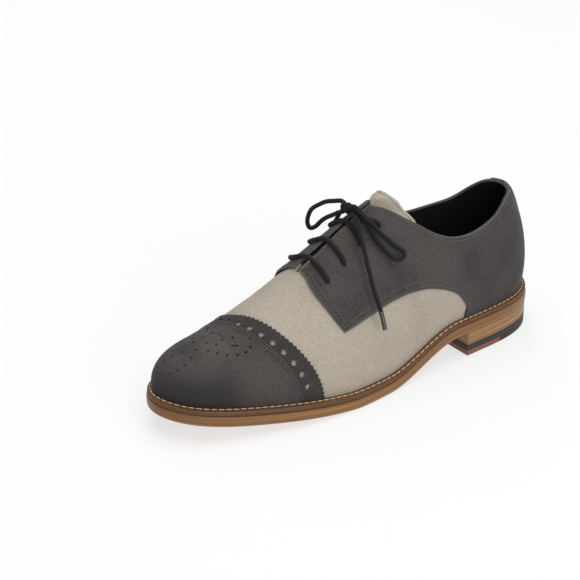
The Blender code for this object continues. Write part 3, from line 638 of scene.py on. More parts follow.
# painted shade for the pits between the stitches
M_PIT_SHADE = plain("painted_pit_shade", (0.028, 0.027, 0.027), 0.6, 2600.0, 0.2, 0.4)
M_TONGUE_THREAD = plain("tongue_thread", (0.085, 0.075, 0.065), 0.8)
M_BEIGE_THREAD = plain("stone_thread", (0.27, 0.235, 0.18), 0.7, 2600.0, 0.2, 0.4)
M_AGLET = plain("aglet", (0.012, 0.012, 0.013), 0.16, 400.0, 0.1, 0.02, spec=0.8)


def lace_material():
    n = Nodes("lace_cord", 0.75)
    w = n.tree.nodes.new("ShaderNodeTexVoronoi")
    w.inputs["Scale"].default_value = 1500.0
    n.tree.links.new(n.coord, w.inputs["Vector"])
    d = w.outputs["Distance"]
    n.colour(n.ramp(d, [(0.1, (0.0125, 0.0120, 0.0122)), (0.7, (0.0040, 0.0040, 0.0042))]))
    n.set("Sheen Weight", 0.04)
    n.set("Specular IOR Level", 0.25)
    n.bump(d, 0.5, 0.00025)
    return n.mat


M_LACE = lace_material()


# ------------------------------------------------------------ surfaces
def on(side, q, v, off=0.0):
    """Points over the last's surface, (x, s, z) in mm."""
    q, v = np.broadcast_arrays(np.asarray(q, float), np.asarray(v, float))
    return LAST.point(side, q, v) + LAST.normal(side, q, v) * np.asarray(off, float)[..., None]


class Sheet:
    """A sheet on the last made of (q, v) grids that share their common edges.
    Every vertex has its own height outside and inside."""

    def __init__(self, patches):
        self.p, self.n, self.f, self.up, self.down, self.q, self.v, self.side = ([] for _ in range(8))
        index = {}
        self.patch_ids = []
        for q, v, side, up, down in patches:
            p = LAST.point(side, q, v)
            nn = LAST.normal(side, q, v)
            up = np.broadcast_to(up, q.shape)
            down = np.broadcast_to(down, q.shape)
            ids = np.zeros(q.shape, int)
            keys = np.round(p + 0.00137, 2) + 0.0
            for i in range(q.shape[0]):
                for j in range(q.shape[1]):
                    key = (keys[i, j, 0], keys[i, j, 1], keys[i, j, 2])
                    k = index.get(key)
                    if k is None:
                        k = index[key] = len(self.p)
                        self.p.append(p[i, j])
                        self.n.append(np.zeros(3))
                        self.up.append(up[i, j])
                        self.down.append(down[i, j])
                        self.q.append(q[i, j])
                        self.v.append(v[i, j])
                        self.side.append(side)
                    ids[i, j] = k
                    self.n[k] = self.n[k] + nn[i, j]
            self.patch_ids.append(ids)
            for i in range(q.shape[0] - 1):
                for j in range(q.shape[1] - 1):
                    a, b, c, d = ids[i, j], ids[i + 1, j], ids[i + 1, j + 1], ids[i, j + 1]
                    ring = [a, b, c, d] if side < 0 else [a, d, c, b]
                    ring = [k for n_, k in enumerate(ring) if k != ring[n_ - 1]]
                    if len(set(ring)) > 2:
                        self.f.append(tuple(ring))
        for name in ("p", "n", "up", "down", "q", "v", "side"):
            setattr(self, name, np.array(getattr(self, name), float))
        self.n /= np.maximum(np.linalg.norm(self.n, axis=1), 1e-9)[:, None]

    def outer(self):
        return self.p + self.n * self.up[:, None]

    def inner(self):
        return self.p + self.n * self.down[:, None]

    def build(self, name, mats, outer_mat=None, inner_slot=1, rim_slot=0, low=None, rim_mat=None):
        """Closed body; outer_mat(face vertex ids) gives a slot number."""
        k = len(self.p)
        verts = np.r_[self.outer(), self.inner()]
        if low is not None:
            verts[:, 2] = np.maximum(verts[:, 2], seat_z(verts[:, 1]) + low)
        faces, slots = [], []
        for f in self.f:
            faces.append(f)
            slots.append(outer_mat(f) if outer_mat else 0)
        for f in self.f:
            faces.append(tuple(i + k for i in reversed(f)))
            slots.append(inner_slot)
        edges = set()
        for f in self.f:
            for i in range(len(f)):
                edges.add((f[i], f[(i + 1) % len(f)]))
        for a, b in edges:
            if (b, a) not in edges:
                faces.append((b, a, a + k, b + k))
                slots.append(rim_mat(a) if rim_mat else rim_slot)
        return mesh_piece(name, verts, faces, mats, slots)


def mesh_piece(name, verts, faces, mats, slots=None, smooth=True, angle=0.75):
    mesh = bpy.data.meshes.new(name)
    mesh.from_pydata([tuple(p) for p in place(verts)], [], [tuple(int(i) for i in f) for f in faces])
    for m in mats:
        mesh.materials.append(m)
    if slots is not None:
        mesh.polygons.foreach_set("material_index", np.array(slots, dtype=np.int32))
    mesh.validate()
    bm = bmesh.new()
    bm.from_mesh(mesh)
    bmesh.ops.recalc_face_normals(bm, faces=bm.faces)
    bm.to_mesh(mesh)
    bm.free()
    if smooth:
        mesh.shade_smooth()
        mesh.set_sharp_from_angle(angle=angle)
    ob = bpy.data.objects.new(name, mesh)
    bpy.context.scene.collection.objects.link(ob)
    return ob


def wear_and_highlight_layer(ob, values):
    """A vertex attribute read by the suede: 1 on a cut edge, 0 elsewhere; it also carries a painted highlight on the
    toe cap's top.
    """
    a = ob.data.attributes.new("edge", "FLOAT", "POINT")
    a.data.foreach_set("value", np.asarray(values, dtype=np.float32))


def shade_layer(ob, values):
    """A vertex attribute of painted shade read by the grey suede: 1 where it is darkest."""
    a = ob.data.attributes.new("shade", "FLOAT", "POINT")
    a.data.foreach_set("value", np.asarray(values, dtype=np.float32))


def finish_piece(ob, slot, *nodes):
    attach(ob, "root")
    if nodes:
        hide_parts(*nodes)
    return ob


def polyline(points, pitch):
    """Points evenly along a 3-D polyline (mm), about a pitch apart."""
    d = np.r_[0, np.cumsum(np.linalg.norm(np.diff(points, axis=0), axis=1))]
    n = max(2, int(round(d[-1] / pitch)) + 1)
    t = np.linspace(0, d[-1], n)
    return np.stack([np.interp(t, d, points[:, k]) for k in range(3)], -1)


def stitches(runs, width, share=0.72, sides=6, flat=0.75):
    """Threads: a rounded grain between each pair of points of every run.
    runs is a list of (points, normals)."""
    verts, faces = [], []
    rings = [(-0.5, 0.25), (-0.42, 0.72), (-0.2, 1.0), (0.2, 1.0), (0.42, 0.72), (0.5, 0.25)]
    ang = np.arange(sides) * 2 * np.pi / sides
    for pts, nrm in runs:
        for a, b, na in zip(pts[:-1], pts[1:], nrm[:-1]):
            t = b - a
            length = np.linalg.norm(t)
            if length < 1e-6:
                continue
            t = t / length
            w = np.cross(t, na)
            w /= np.linalg.norm(w)
            u = np.cross(w, t)
            base = len(verts)
            mid = (a + b) / 2
            for z, r in rings:
                c = mid + t * z * length * share
                for g in ang:
                    verts.append(c + (w * math.cos(g) + u * math.sin(g) * flat) * r * width / 2)
            for i in range(len(rings) - 1):
                for k in range(sides):
                    m = (k + 1) % sides
                    faces.append((base + i * sides + k, base + i * sides + m,
                                  base + (i + 1) * sides + m, base + (i + 1) * sides + k))
            faces.append(tuple(base + k for k in reversed(range(sides))))
            last = base + (len(rings) - 1) * sides
            faces.append(tuple(last + k for k in range(sides)))
    return np.array(verts), faces


def surface_run(side, q, v, off, pitch):
    """A stitched line over the surface as (points, normals)."""
    q, v = np.asarray(q, float), np.asarray(v, float)
    fine = np.linspace(0, 1, 600)
    base = np.linspace(0, 1, len(q))
    Q, V = curve(base, q, fine)[:, 0], curve(base, v, fine)[:, 0]
    P = on(side, Q, np.clip(V, 0.0, 1.0), off)
    N = LAST.normal(side, Q, np.clip(V, 0.0, 1.0))
    d = np.r_[0, np.cumsum(np.linalg.norm(np.diff(P, axis=0), axis=1))]
    n = max(2, int(round(d[-1] / pitch)) + 1)
    t = np.linspace(0, d[-1], n)
    return (np.stack([np.interp(t, d, P[:, k]) for k in range(3)], -1),
            np.stack([np.interp(t, d, N[:, k]) for k in range(3)], -1))


def smoothstep(a, b, x):
    t = np.clip((x - a) / (b - a), 0, 1)
    return t * t * (3 - 2 * t)


# ------------------------------------------------------------ lines of the pattern
#            v      lateral medial
SEAM_EDGE = [(0.0,   1.858, 1.917),
             (0.13,  1.871, 1.927),
             (0.265, 1.885, 1.937),
             (0.43,  1.907, 1.950),
             (0.575, 1.927, 1.960),
             (0.72,  1.944, 1.966),
             (0.87,  1.957, 1.968),
             (1.0,   1.964, 1.964)]
# arc of a quarter's lower edge from the welt forwards to the flap's tip
#            q      v
LOW_ARC = [(1.156, 0.000),
           (1.142, 0.030),
           (1.145, 0.060),
           (1.160, 0.105),
           (1.184, 0.152),
           (1.226, 0.204),
           (1.270, 0.245),
           (1.310, 0.279),
           (1.350, 0.305),
           (1.390, 0.327),
           (1.435, 0.345),
           (1.475, 0.357),
           (1.515, 0.362),
           (1.560, 0.366),
           (1.600, 0.370),
           (1.640, 0.373),
           (1.665, 0.375)]
FLAP_LIFT = 1.0          # the front of the quarter's flap over the vamp
SHELL_UP = -0.7          # visible skin of the vamp
OVER_UP = 0.45           # visible skin of cap and quarters
OVER_DOWN = -0.62


def cap_q(side, v, table=CAP_EDGE):
    return column(table, v, 1 if side > 0 else 2)


def low_arc(n):
    """n (q, v) points along the lower arc, evenly in the shoe's own length."""
    t = np.array(LOW_ARC) * np.array([200.0, 62.0])
    return along(t, n) / np.array([200.0, 62.0])


def quarter_front(v):
    return curve([r[0] for r in QUARTER_FRONT], [r[1] for r in QUARTER_FRONT], v)[..., 0]


ARC = low_arc(400)
EDGE_Q = np.linspace(0, 2.0, 401)
OPEN = {s: LAST.open_edge(s, EDGE_Q) for s in (1, -1)}


def open_v(side, q):
    return np.interp(q, EDGE_Q, OPEN[side])


def under_quarter(side, q, v, margin=0.02):
    """True where the quarter covers the shell, a margin inside its edge."""
    up = ARC[ARC[:, 0].argmin():]
    low = np.interp(q, up[:, 0], up[:, 1], left=0.0, right=9.0) + margin
    front = quarter_front(np.clip(v, 0.375, 0.86))
    return (v > low) & (q < front - margin * 0.4)


# ------------------------------------------------------------ upper shell
def dims_q(heel, mid, toe):
    body = np.r_[np.linspace(1, square(THROAT_END - 9.0), int(mid * 0.68), endpoint=False),
                 np.linspace(square(THROAT_END - 9.0), square(THROAT_END), 30),
                 np.linspace(square(THROAT_END), 2, int(mid * 0.30), endpoint=False)[1:]]
    q = np.r_[np.linspace(0, 1, heel, endpoint=False), body, np.linspace(2, 3, toe + 1)]
    k = int(np.argmin(abs(q - square(THROAT_END))))
    q[k] = square(THROAT_END)
    return q


def make_shell():
    q = dims_q(24, 110, 36)
    rows = np.linspace(0, 1, 44)
    patches = []
    for side in (1, -1):
        top = LAST.open_edge(side, q)
        Q = np.broadcast_to(q[:, None], (len(q), len(rows)))
        V = top[:, None] * rows[None, :]
        P = LAST.point(side, Q, V)
        up = np.full(Q.shape, SHELL_UP)
        # soft break over the ball, where the toes bend
        for s0, depth, width in CREASES:
            d = P[..., 1] - (s0 + 0.10 * np.abs(P[..., 0] + 4))
            fade = smoothstep(0.30, 0.75, V)
            up = up - depth * np.exp(-(d / width) ** 2) * fade
        # the leather gives a little between the facings and the cap
        for s0, x0, rs, rx, height in SWELLS:
            w = ((P[..., 1] - s0) / rs) ** 2 + ((P[..., 0] - x0) / rx) ** 2
            up = up + height * np.exp(-w)
        for j, vj in enumerate(rows):
            a, b = cap_q(side, vj), cap_q(side, vj, SEAM_EDGE)
            dist = (Q[:, j] - a) * 201.0
            band = smoothstep(0.8, 1.8, dist) * (1 - smoothstep((b - a) * 201.0 - 0.5, (b - a) * 201.0 + 1.5, dist))
            up[:, j] = np.minimum(up[:, j], SHELL_UP) * band + up[:, j] * (1 - band) - 0.35 * band
        patches.append((Q, V, side, up, -WALL))
    sh = Sheet(patches)
    seam = {s: cap_q(s, np.clip(sh.v, 0, 1), SEAM_EDGE) for s in (1, -1)}

    def slot(f):
        f = list(f)
        qm, vm, sm = sh.q[f].mean(), sh.v[f].mean(), sh.side[f][0]
        if under_quarter(sm, qm, vm):
            return 1
        if qm > seam[1 if sm > 0 else -1][f].mean() + 0.012:
            return 2
        return 0

    ob = sh.build("upper_shell", [M_BEIGE, M_LINING, M_BACKING], slot, 1, 1, low=0.05,
                  rim_mat=lambda a: 0 if sh.q[a] > 1.69 else 1)
    k = len(sh.p)
    wear_and_highlight_layer(ob, np.zeros(2 * k))
    return finish_piece(ob, "stone_suede", "upper")


#           s      depth  width (mm)
CREASES = [(207.0, 0.30, 3.2),
           (197.0, 0.22, 3.0)]
#          s      x     length width height (mm)
SWELLS = [(190.0, 34.0, 9.0,   12.0, 0.35),
          (206.0, 30.0, 7.0,   11.0, -0.30),
          (218.0, 26.0, 8.0,   14.0, 0.20),
          (196.0, -34.0, 9.0,  12.0, 0.30)]

make_shell()


# ------------------------------------------------------------ toe cap
PINK_PITCH, PINK_DEPTH = 3.3, 1.1
BAND_R, BAND_PITCH = 1.85, 9.1


def make_cap():
    steps_n = 60
    patches = []
    t = np.linspace(0, 1, steps_n)
    t = t ** 1.12
    vv = np.linspace(0, 1, 1200)
    edge = on(1, cap_q(1, vv), vv)
    d = np.r_[0, np.cumsum(np.linalg.norm(np.diff(edge, axis=0), axis=1))]
    teeth = int(round(d[-1] / PINK_PITCH))
    rows_n = teeth * 4 + 1
    v = np.interp(np.linspace(0, d[-1], rows_n), d, vv)
    for side in (1, -1):
        phase = np.arange(rows_n) % 4
        # teeth point backwards from the edge; the ridge sits on a notch's middle
        tooth = np.where(phase == 2, 1.0, np.where(phase == 0, 0.0, 0.55))
        back = cap_q(side, v) - tooth * PINK_DEPTH / 200.0
        Q = back[None, :] + (3 - back[None, :]) * t[:, None]
        V = np.broadcast_to(v[None, :], Q.shape)
        seam = cap_q(side, v, SEAM_EDGE)
        dist = (Q - seam[None, :]) * 201.0         # + in front of the seam
        up = np.full(Q.shape, OVER_UP + 0.1)
        up = up + 0.55 * smoothstep(-0.45, 0.35, dist) * (1 - smoothstep(8.0, 40.0, dist))
        up = up - 0.32 * np.exp(-((dist + 1.9) / 1.2) ** 2)
        up = np.where(t[:, None] < 1e-6, up - 0.18, up)
        patches.append((Q, V, side, up, OVER_DOWN))
    sh = Sheet(patches)
    ob = sh.build("toe_cap_suede", [M_GREY], None, 0, 0, low=0.05)
    # the band is a little darker, and the low front of the cap carries painted shade
    band = np.zeros(len(sh.p))
    for k, (q, v, side) in enumerate(zip(sh.q, sh.v, sh.side)):
        band[k] = 0.62 * (1 - smoothstep(-0.5, 0.8, (q - cap_q(side, v, SEAM_EDGE)) * 201.0))
    low = 0.85 * smoothstep(-0.72, -0.20, -sh.v) * smoothstep(1.98, 2.35, sh.q)
    values = np.maximum(band, low)
    shade_layer(ob, np.r_[values, values])
    # painted highlight: the cap's top is lighter, through the worn colour
    light = 0.15 * smoothstep(0.62, 0.86, sh.v) * smoothstep(1.97, 2.05, sh.q)
    wear_and_highlight_layer(ob, np.r_[light, light])
    # perforations, cut right through
    tools = []
    for side in (1, -1):
        vv = np.linspace(0, 1, 800)
        mid = 0.5 * (cap_q(side, vv) + cap_q(side, vv, SEAM_EDGE)) + 0.002
        P = on(side, mid, vv)
        N = LAST.normal(side, mid, vv)
        d = np.r_[0, np.cumsum(np.linalg.norm(np.diff(P, axis=0), axis=1))][::-1]
        d = d[0] - np.r_[0, np.cumsum(np.linalg.norm(np.diff(P, axis=0), axis=1))]
        first = 2.4 if side > 0 else 6.7
        at = first
        while at < d[0] - 6.5:
            k = int(np.argmin(abs(d - at)))
            tools.append((P[k], N[k], BAND_R, None))
            at += BAND_PITCH
    tools += medallion_tools()
    cut = drill(tools)
    mod = ob.modifiers.new("holes", "BOOLEAN")
    mod.operation = "DIFFERENCE"
    mod.solver = "EXACT"
    mod.use_self = True
    mod.object = cut
    dg = bpy.context.evaluated_depsgraph_get()
    done = bpy.data.meshes.new_from_object(ob.evaluated_get(dg))
    ob.modifiers.clear()
    ob.data = done
    done.name = "toe_cap_suede"
    bpy.data.objects.remove(cut)
    done.shade_smooth()
    done.set_sharp_from_angle(angle=0.75)
    while len(done.materials) > 1:
        done.materials.pop(index=len(done.materials) - 1)
    finish_piece(ob, "grey_suede", "toe_cap")


def medallion_tools():
    tools = []
    for out, s, r, slot in HALF_MEDALLION:
        for sign in ((1, -1) if out > 0.5 else (1,)):
            x = AXIS_X + AXIS_SKEW * (s - AXIS_FROM) + sign * out
            side = 1 if x > column(RIDGE, min(s, TOE_POLE), 2) else -1
            q, v = top_param(side, x, s)
            if v is None:
                continue
            way = None
            if slot:
                lean = np.array([sign * SLOT_LEAN[0] + AXIS_SKEW * SLOT_LEAN[1], SLOT_LEAN[1], 0.0])
                way = (lean, slot)
            tools.append((on(side, q, v), LAST.normal(side, q, v), r, way))
    return tools


def top_param(side, x, s):
    """(q, v) of the surface point over a plan position near the ridge."""
    Q, V = np.meshgrid(np.linspace(1.8, 2.999, 300), np.linspace(0.2, 0.999, 160), indexing="ij")
    if side not in TOP_CACHE:
        TOP_CACHE[side] = LAST.point(side, Q, V)
    P = TOP_CACHE[side]
    d = np.hypot(P[..., 0] - x, P[..., 1] - s)
    i = np.unravel_index(d.argmin(), d.shape)
    if d[i] > 1.5:
        return None, None
    return float(Q[i]), float(V[i])


TOP_CACHE = {}
# the medallion is even about a line that leans a little across the toe
AXIS_X, AXIS_SKEW, AXIS_FROM = -3.6, -0.105, 245.0
SLOT_LEAN = (0.587, -0.81)      # the slots run this way, x and s
#                 out    s     radius half length of a slot (mm)
HALF_MEDALLION = [(3.4,  289.4, 0.90, 0),
                  (6.9,  286.1, 0.90, 0),
                  (8.2,  281.6, 0.90, 0),
                  (7.9,  276.1, 0.90, 0),
                  (4.9,  270.2, 0.85, 0),
                  (0.0,  264.0, 0.85, 0),
                  (8.1,  260.5, 0.85, 0),
                  (13.4, 257.4, 0.85, 0),
                  (18.2, 253.6, 0.85, 0),
                  (21.1, 248.2, 0.85, 0),
                  (22.3, 243.0, 0.85, 0),
                  (21.1, 239.0, 0.80, 0),
                  (17.2, 236.9, 0.80, 0),
                  (9.3,  244.0, 0.80, 0),
                  (5.6,  248.9, 0.80, 0),
                  (6.6,  253.7, 0.80, 0),
                  (0.0,  256.3, 0.80, 0),
                  (14.9, 246.4, 0.62, 2.5)]


def drill(tools, depth=1.7, sides=14):
    """Punches: round, or a slot where a tool has a direction and half length."""
    verts, faces = [], []
    for p, n, r, way in tools:
        n = np.asarray(n, float)
        ref, half = (np.array([1.0, 0.0, 0.0]), r) if way is None else way
        w = ref - n * (ref @ n)
        w /= np.linalg.norm(w)
        u = np.cross(n, w)
        base = len(verts)
        for z in (-depth, depth):
            for k in range(sides):
                a = 2 * math.pi * (k + 0.5) / sides
                along_w = math.cos(a) * r + (half - r) * (1 if math.cos(a) > 0 else -1)
                verts.append(p + n * z + w * along_w + u * math.sin(a) * r)
        faces.append(tuple(base + k for k in reversed(range(sides))))
        faces.append(tuple(base + sides + k for k in range(sides)))
        for k in range(sides):
            m = (k + 1) % sides
            faces.append((base + k, base + m, base + sides + m, base + sides + k))
    return mesh_piece("cutter", np.array(verts), faces, [M_GREY], smooth=False)


make_cap()


# ------------------------------------------------------------ quarters
def quarter_grid(side, n_low=70, n_arc=110, m=46):
    foot = np.stack([np.linspace(0.012, LOW_ARC[0][0], n_low, endpoint=False), np.zeros(n_low)], -1)
    low = np.r_[foot, low_arc(n_arc)]
    n = len(low)
    t = np.arange(n) / (n - 1)
    w = np.linspace(0, 1, m)
    k = n_low / (n - 1)
    q_top = np.interp(t, (0, k, 1), (0.012, 1.09, QUARTER_FRONT[-1][1]))
    q_top = curve(np.array([0, 0.5 * k, k, 0.5 * (1 + k), 1]),
                  np.array([0.012, 0.56, 1.09, 1.40, QUARTER_FRONT[-1][1]]), t)[:, 0]
    Q = low[:, :1] + (q_top[:, None] - low[:, :1]) * w[None, :]
    vfront = QUARTER_FRONT[0][0] + (open_v(side, QUARTER_FRONT[-1][1]) - QUARTER_FRONT[0][0]) * w
    bow = quarter_front(np.clip(vfront, QUARTER_FRONT[0][0], QUARTER_FRONT[-1][0])) - Q[-1]
    ramp = smoothstep(0.55, 1.0, t)
    Q = Q + ramp[:, None] * bow[None, :]
    V = np.zeros_like(Q)
    for j in range(m):
        top = open_v(side, Q[:, j])
        V[:, j] = low[:, 1] + (top - low[:, 1]) * w[j]
    return Q, V, t, w


def eyelet_dent(side, P):
    d = np.full(P.shape[:-1], 99.0)
    for q, v in EYELET_AT:
        c = LAST.point(side, np.array([q]), np.array([v]))[0]
        d = np.minimum(d, np.linalg.norm(P - c, axis=-1))
    return 0.75 * np.exp(-(d / 2.1) ** 2)


EYELET_AT = EYELETS


def make_quarters():
    for side, name in ((1, "quarter_lateral"), (-1, "quarter_medial")):
        Q, V, t, w = quarter_grid(side)
        P = LAST.point(side, Q, V)
        flap = smoothstep(135.0, 185.0, P[..., 1]) * smoothstep(50.0, 75.0, P[..., 2])
        up = np.full(Q.shape, OVER_UP) + FLAP_LIFT * flap
        down = np.full(Q.shape, OVER_DOWN) + FLAP_LIFT * flap
        # the top edge is turned over a little, the rim rounds off
        rim = np.zeros(Q.shape)
        rim[:, -1] = rim[-1, :] = 1
        rim[:, 0] = 1
        near = np.zeros(Q.shape)
        near[:, -2] = near[-2, :] = 1
        near[:, 1] = 1
        up = up - 0.34 * rim - 0.05 * near * (1 - rim)
        up = up - eyelet_dent(side, P)
        sh = Sheet([(Q, V, side, up, down)])
        ob = sh.build(name + "_suede", [M_GREY, M_LINING], None, 0, 0, low=0.05)
        k = len(sh.p)
        e = np.zeros(2 * k)
        ids = sh.patch_ids[0]
        for line in (ids[:, 0], ids[:, -1], ids[-1, :]):
            e[line] = 0.8
            e[line + k] = 0.5
        wear_and_highlight_layer(ob, e)
        # painted shade: each quarter is darker towards its lower rear
        dark = 0.30 * smoothstep(-100.0, -45.0, -sh.p[:, 1]) * smoothstep(-95.0, -70.0, -sh.p[:, 2])
        shade_layer(ob, np.r_[dark, dark])
        finish_piece(ob, "grey_suede", name)


make_quarters()


# ------------------------------------------------------------ back strip
def make_back_strip():
    rows = np.linspace(0, 1, 40)
    half = np.linspace(0, 1, 12)
    patches = []
    for side in (1, -1):
        top = open_v(side, 0.0)
        width = np.interp(rows, (0, 0.5, 1), (7.5, 8.0, 10.0))
        V = top * np.broadcast_to(rows[None, :], (len(half), len(rows)))
        Q = np.zeros_like(V)
        for j in range(len(rows)):
            qq = np.linspace(0, 0.8, 60)
            p = LAST.point(side, qq, np.full(60, V[0, j]))
            d = np.r_[0, np.cumsum(np.linalg.norm(np.diff(p, axis=0), axis=1))]
            Q[:, j] = np.interp(half * width[j], d, qq)
        V = np.minimum(open_v(side, Q), 1.0) * rows[None, :]
        up = np.full(Q.shape, OVER_UP + 0.85)
        up[-1, :] -= 0.12
        up[:, -1] -= 0.2
        patches.append((Q, V, side, up, OVER_UP - 0.2))
    sh = Sheet(patches)
    ob = sh.build("back_strip", [M_GREY], None, 0, 0, low=0.05)
    k = len(sh.p)
    wear_and_highlight = np.zeros(2 * k)
    for ids in sh.patch_ids:
        wear_and_highlight[ids[-1, :]] = 0.55
    wear_and_highlight_layer(ob, wear_and_highlight)
    finish_piece(ob, "grey_suede")
    # a stitched row along each side
    runs = []
    for side, (Q, V, _, _, _) in zip((1, -1), patches):
        j = len(half) - 3
        runs.append((polyline(on(side, Q[j], V[j], OVER_UP + 0.92)[1:-1], 1.9), None))
    runs = [(p, np.tile(np.array([0.0, -1.0, 0.15]), (len(p), 1))) for p, _ in runs]
    verts, faces = stitches(runs, 0.6, 0.68)
    finish_piece(mesh_piece("back_strip_stitches", verts, faces, [M_GREY_THREAD]), "grey_suede")


make_back_strip()


# ------------------------------------------------------------ tongue
def tongue_line(a):
    """q of the tongue's top end, a = 0 on the ridge to 1 at its side."""
    return square(121.8) - 0.095 * a ** 1.7 + 0.05 * a ** 16


def tongue_lift(p):
    """How far the tongue stands off the instep inside the collar's front."""
    half = np.interp(p[..., 1], (118.0, 122.0, 126.0, 130.0, 134.0), (13.0, 11.0, 8.3, 5.0, 1.6))
    inside = half - abs(p[..., 0] - 0.8)
    return (TONGUE_RISE + 1.2) * np.where(p[..., 0] > 0.8, smoothstep(0.0, 5.4, inside),
                                          smoothstep(0.0, 2.6, inside))


def make_tongue():
    t = np.linspace(0, 1, 80)
    a = np.linspace(0, 1, 48) ** 0.6
    q_front = square(197.0)
    reach = np.interp(t, (0, 0.3, 0.7, 1), (0.26, 0.34, 0.42, 0.42))
    patches = []
    for side in (1, -1):
        V = 1 - a[None, :] * reach[:, None]
        Q = q_front + (tongue_line(a)[None, :] - q_front) * t[:, None]
        up = np.full(Q.shape, -WALL - 0.95)
        up = up + 1.0 * smoothstep(0.80, 0.97, t)[:, None]
        P = LAST.point(side, Q, V)
        up = up + tongue_lift(P)
        up[-1, :] -= 0.45
        up[:, -1] -= 0.45
        patches.append((Q, V, side, up, up - 2.0))
    sh = Sheet(patches)
    ob = sh.build("tongue_suede", [M_BEIGE, M_LINING], None, 1, 0)
    wear_and_highlight_layer(ob, np.zeros(len(ob.data.vertices)))
    finish_piece(ob, "stone_suede", "tongue")
    # one row of stitches along the end
    a = np.linspace(0, 0.93, 60)
    runs = []
    for side in (1, -1):
        q, v = tongue_line(a) + 0.0125, 1 - a * 0.41
        p = LAST.point(side, q, v)
        at = polyline(on(side, q, v, tongue_lift(p) - WALL + 0.05), 1.9)
        runs.append((at, np.tile(LAST.normal(side, q, v).mean(0), (len(at), 1))))
    verts, faces = stitches(runs, 0.62)
    finish_piece(mesh_piece("tongue_stitches", verts, faces, [M_TONGUE_THREAD]), "stone_suede")


make_tongue()


# ------------------------------------------------------------ stitching of the upper
def upper_stitches():
    grey, dark, beige = [], [], []
    for side in (1, -1):
        # double row beside the cap's seam
        v = np.linspace(0.02, 1.0, 40)
        for off_q, lift in ((-1.1, OVER_UP + 0.12), (-2.6, OVER_UP + 0.0)):
            q = cap_q(side, v, SEAM_EDGE) + off_q / 201.0
            grey.append(surface_run(side, q, v, lift, 1.9))
        # two rows over the quarter's lower arc
        arc = low_arc(60)
        d = np.gradient(arc * np.array([200.0, 62.0]), axis=0)
        nrm = np.stack([-d[:, 1], d[:, 0]], -1)
        nrm /= np.linalg.norm(nrm, axis=1)[:, None]
        for off in (0.95, 2.5):
            p = (arc * np.array([200.0, 62.0]) + nrm * off * np.array([1.0, 1.0])) / np.array([200.0, 62.0])
            keep = (p[:, 1] > 0.02) & (p[:, 0] < 1.650)
            p = p[keep]
            grey.append(surface_run(side, p[:, 0], p[:, 1], OVER_UP + 0.1, 1.9))
        # front of the flap
        v = np.linspace(0.40, min(0.86, open_v(side, 1.70)) - 0.02, 20)
        for off in (1.5, 3.7):
            q = quarter_front(v) - off / 201.0
            grey.append(surface_run(side, q, v, OVER_UP + FLAP_LIFT + 0.1, 1.9))
        # facing and collar
        q = np.linspace(0.10, 1.690, 120)
        p = on(side, q, open_v(side, q))
        v = open_v(side, q) - 1.5 / 60.0
        s = LAST.point(side, q, v)
        flap = smoothstep(135.0, 185.0, s[:, 1]) * smoothstep(50.0, 75.0, s[:, 2])
        pts = on(side, q, v, OVER_UP + 0.1 + FLAP_LIFT * flap)
        nn = LAST.normal(side, q, v)
        dd = np.r_[0, np.cumsum(np.linalg.norm(np.diff(pts, axis=0), axis=1))]
        tt = np.linspace(0, dd[-1], int(dd[-1] / 2.0))
        grey.append((np.stack([np.interp(tt, dd, pts[:, k]) for k in range(3)], -1),
                     np.stack([np.interp(tt, dd, nn[:, k]) for k in range(3)], -1)))
    verts, faces = stitches(grey, 0.68, 0.68)
    ob = mesh_piece("seam_stitches", verts, faces, [M_GREY_THREAD])
    finish_piece(ob, "grey_suede")
    # painted shade: small dark beads between the stitches stand for the shaded needle pits
    between = [((p[:-1] + p[1:]) / 2 - n[:-1] * 0.04, n[:-1]) for p, n in grey]
    verts, faces = stitches(between, 0.60, 0.26, 5)
    finish_piece(mesh_piece("stitch_pit_shade", verts, faces, [M_PIT_SHADE]), "grey_suede")


upper_stitches()


# ------------------------------------------------------------ sole
def loops_body(name, rows, mats, slots_of_ring, cap_slots=(0, 0), n=480, closed=False):
    """Body from closed plan loops at heights; rows is a list of (loop, z array)."""
    verts = np.concatenate([np.c_[l, z] for l, z in rows])
    faces, slots = [], []
    R = len(rows)
    last = R if closed else R - 1
    for r in range(last):
        a, b = r * n, ((r + 1) % R) * n
        for k in range(n):
            m = (k + 1) % n
            faces.append((a + k, a + m, b + m, b + k))
            slots.append(slots_of_ring(r))
    if not closed:
        for base, slot, turn in ((0, cap_slots[0], True), ((R - 1) * n, cap_slots[1], False)):
            for k in range(n // 2):
                a, b, c, d = k, k + 1, n - k - 1, (n - k) % n
                ring = [a, b] if b == c else [a, b, c]
                ring = ring + ([d] if d != a else [])
                if len(ring) > 2:
                    ring = [base + i for i in ring]
                    faces.append(tuple(reversed(ring)) if not turn else tuple(ring))
                    slots.append(slot)
    return mesh_piece(name, verts, faces, mats, slots, angle=0.6)


def edge_loop(n, inset):
    e = sole_edge()
    return (e - outward(e) * inset)[(np.arange(n) * (len(e) // n))]


def make_outsole():
    n = 480
    prof = [(3.0, 0.0), (1.1, 0.0), (0.5, 0.22), (0.12, 0.75), (0.0, 1.5), (0.0, 3.6), (0.0, 5.5),
            (0.1, 6.3), (0.38, 6.85), (0.9, SOLE_T), (3.0, SOLE_T)]
    rows = []
    for inset, h in prof:
        l = edge_loop(n, inset)
        rows.append((l, under_z(l[:, 1]) + h))
    ob = loops_body("outsole_leather", rows, [M_SOLE, M_UNDER], lambda r: 1 if r < 1 else 0, (1, 0), n)
    a = ob.data.attributes.new("height", "FLOAT", "POINT")
    a.data.foreach_set("value", np.repeat([h for _, h in prof], n).astype(np.float32) * 0.001)
    finish_piece(ob, "sole_leather", "outsole")


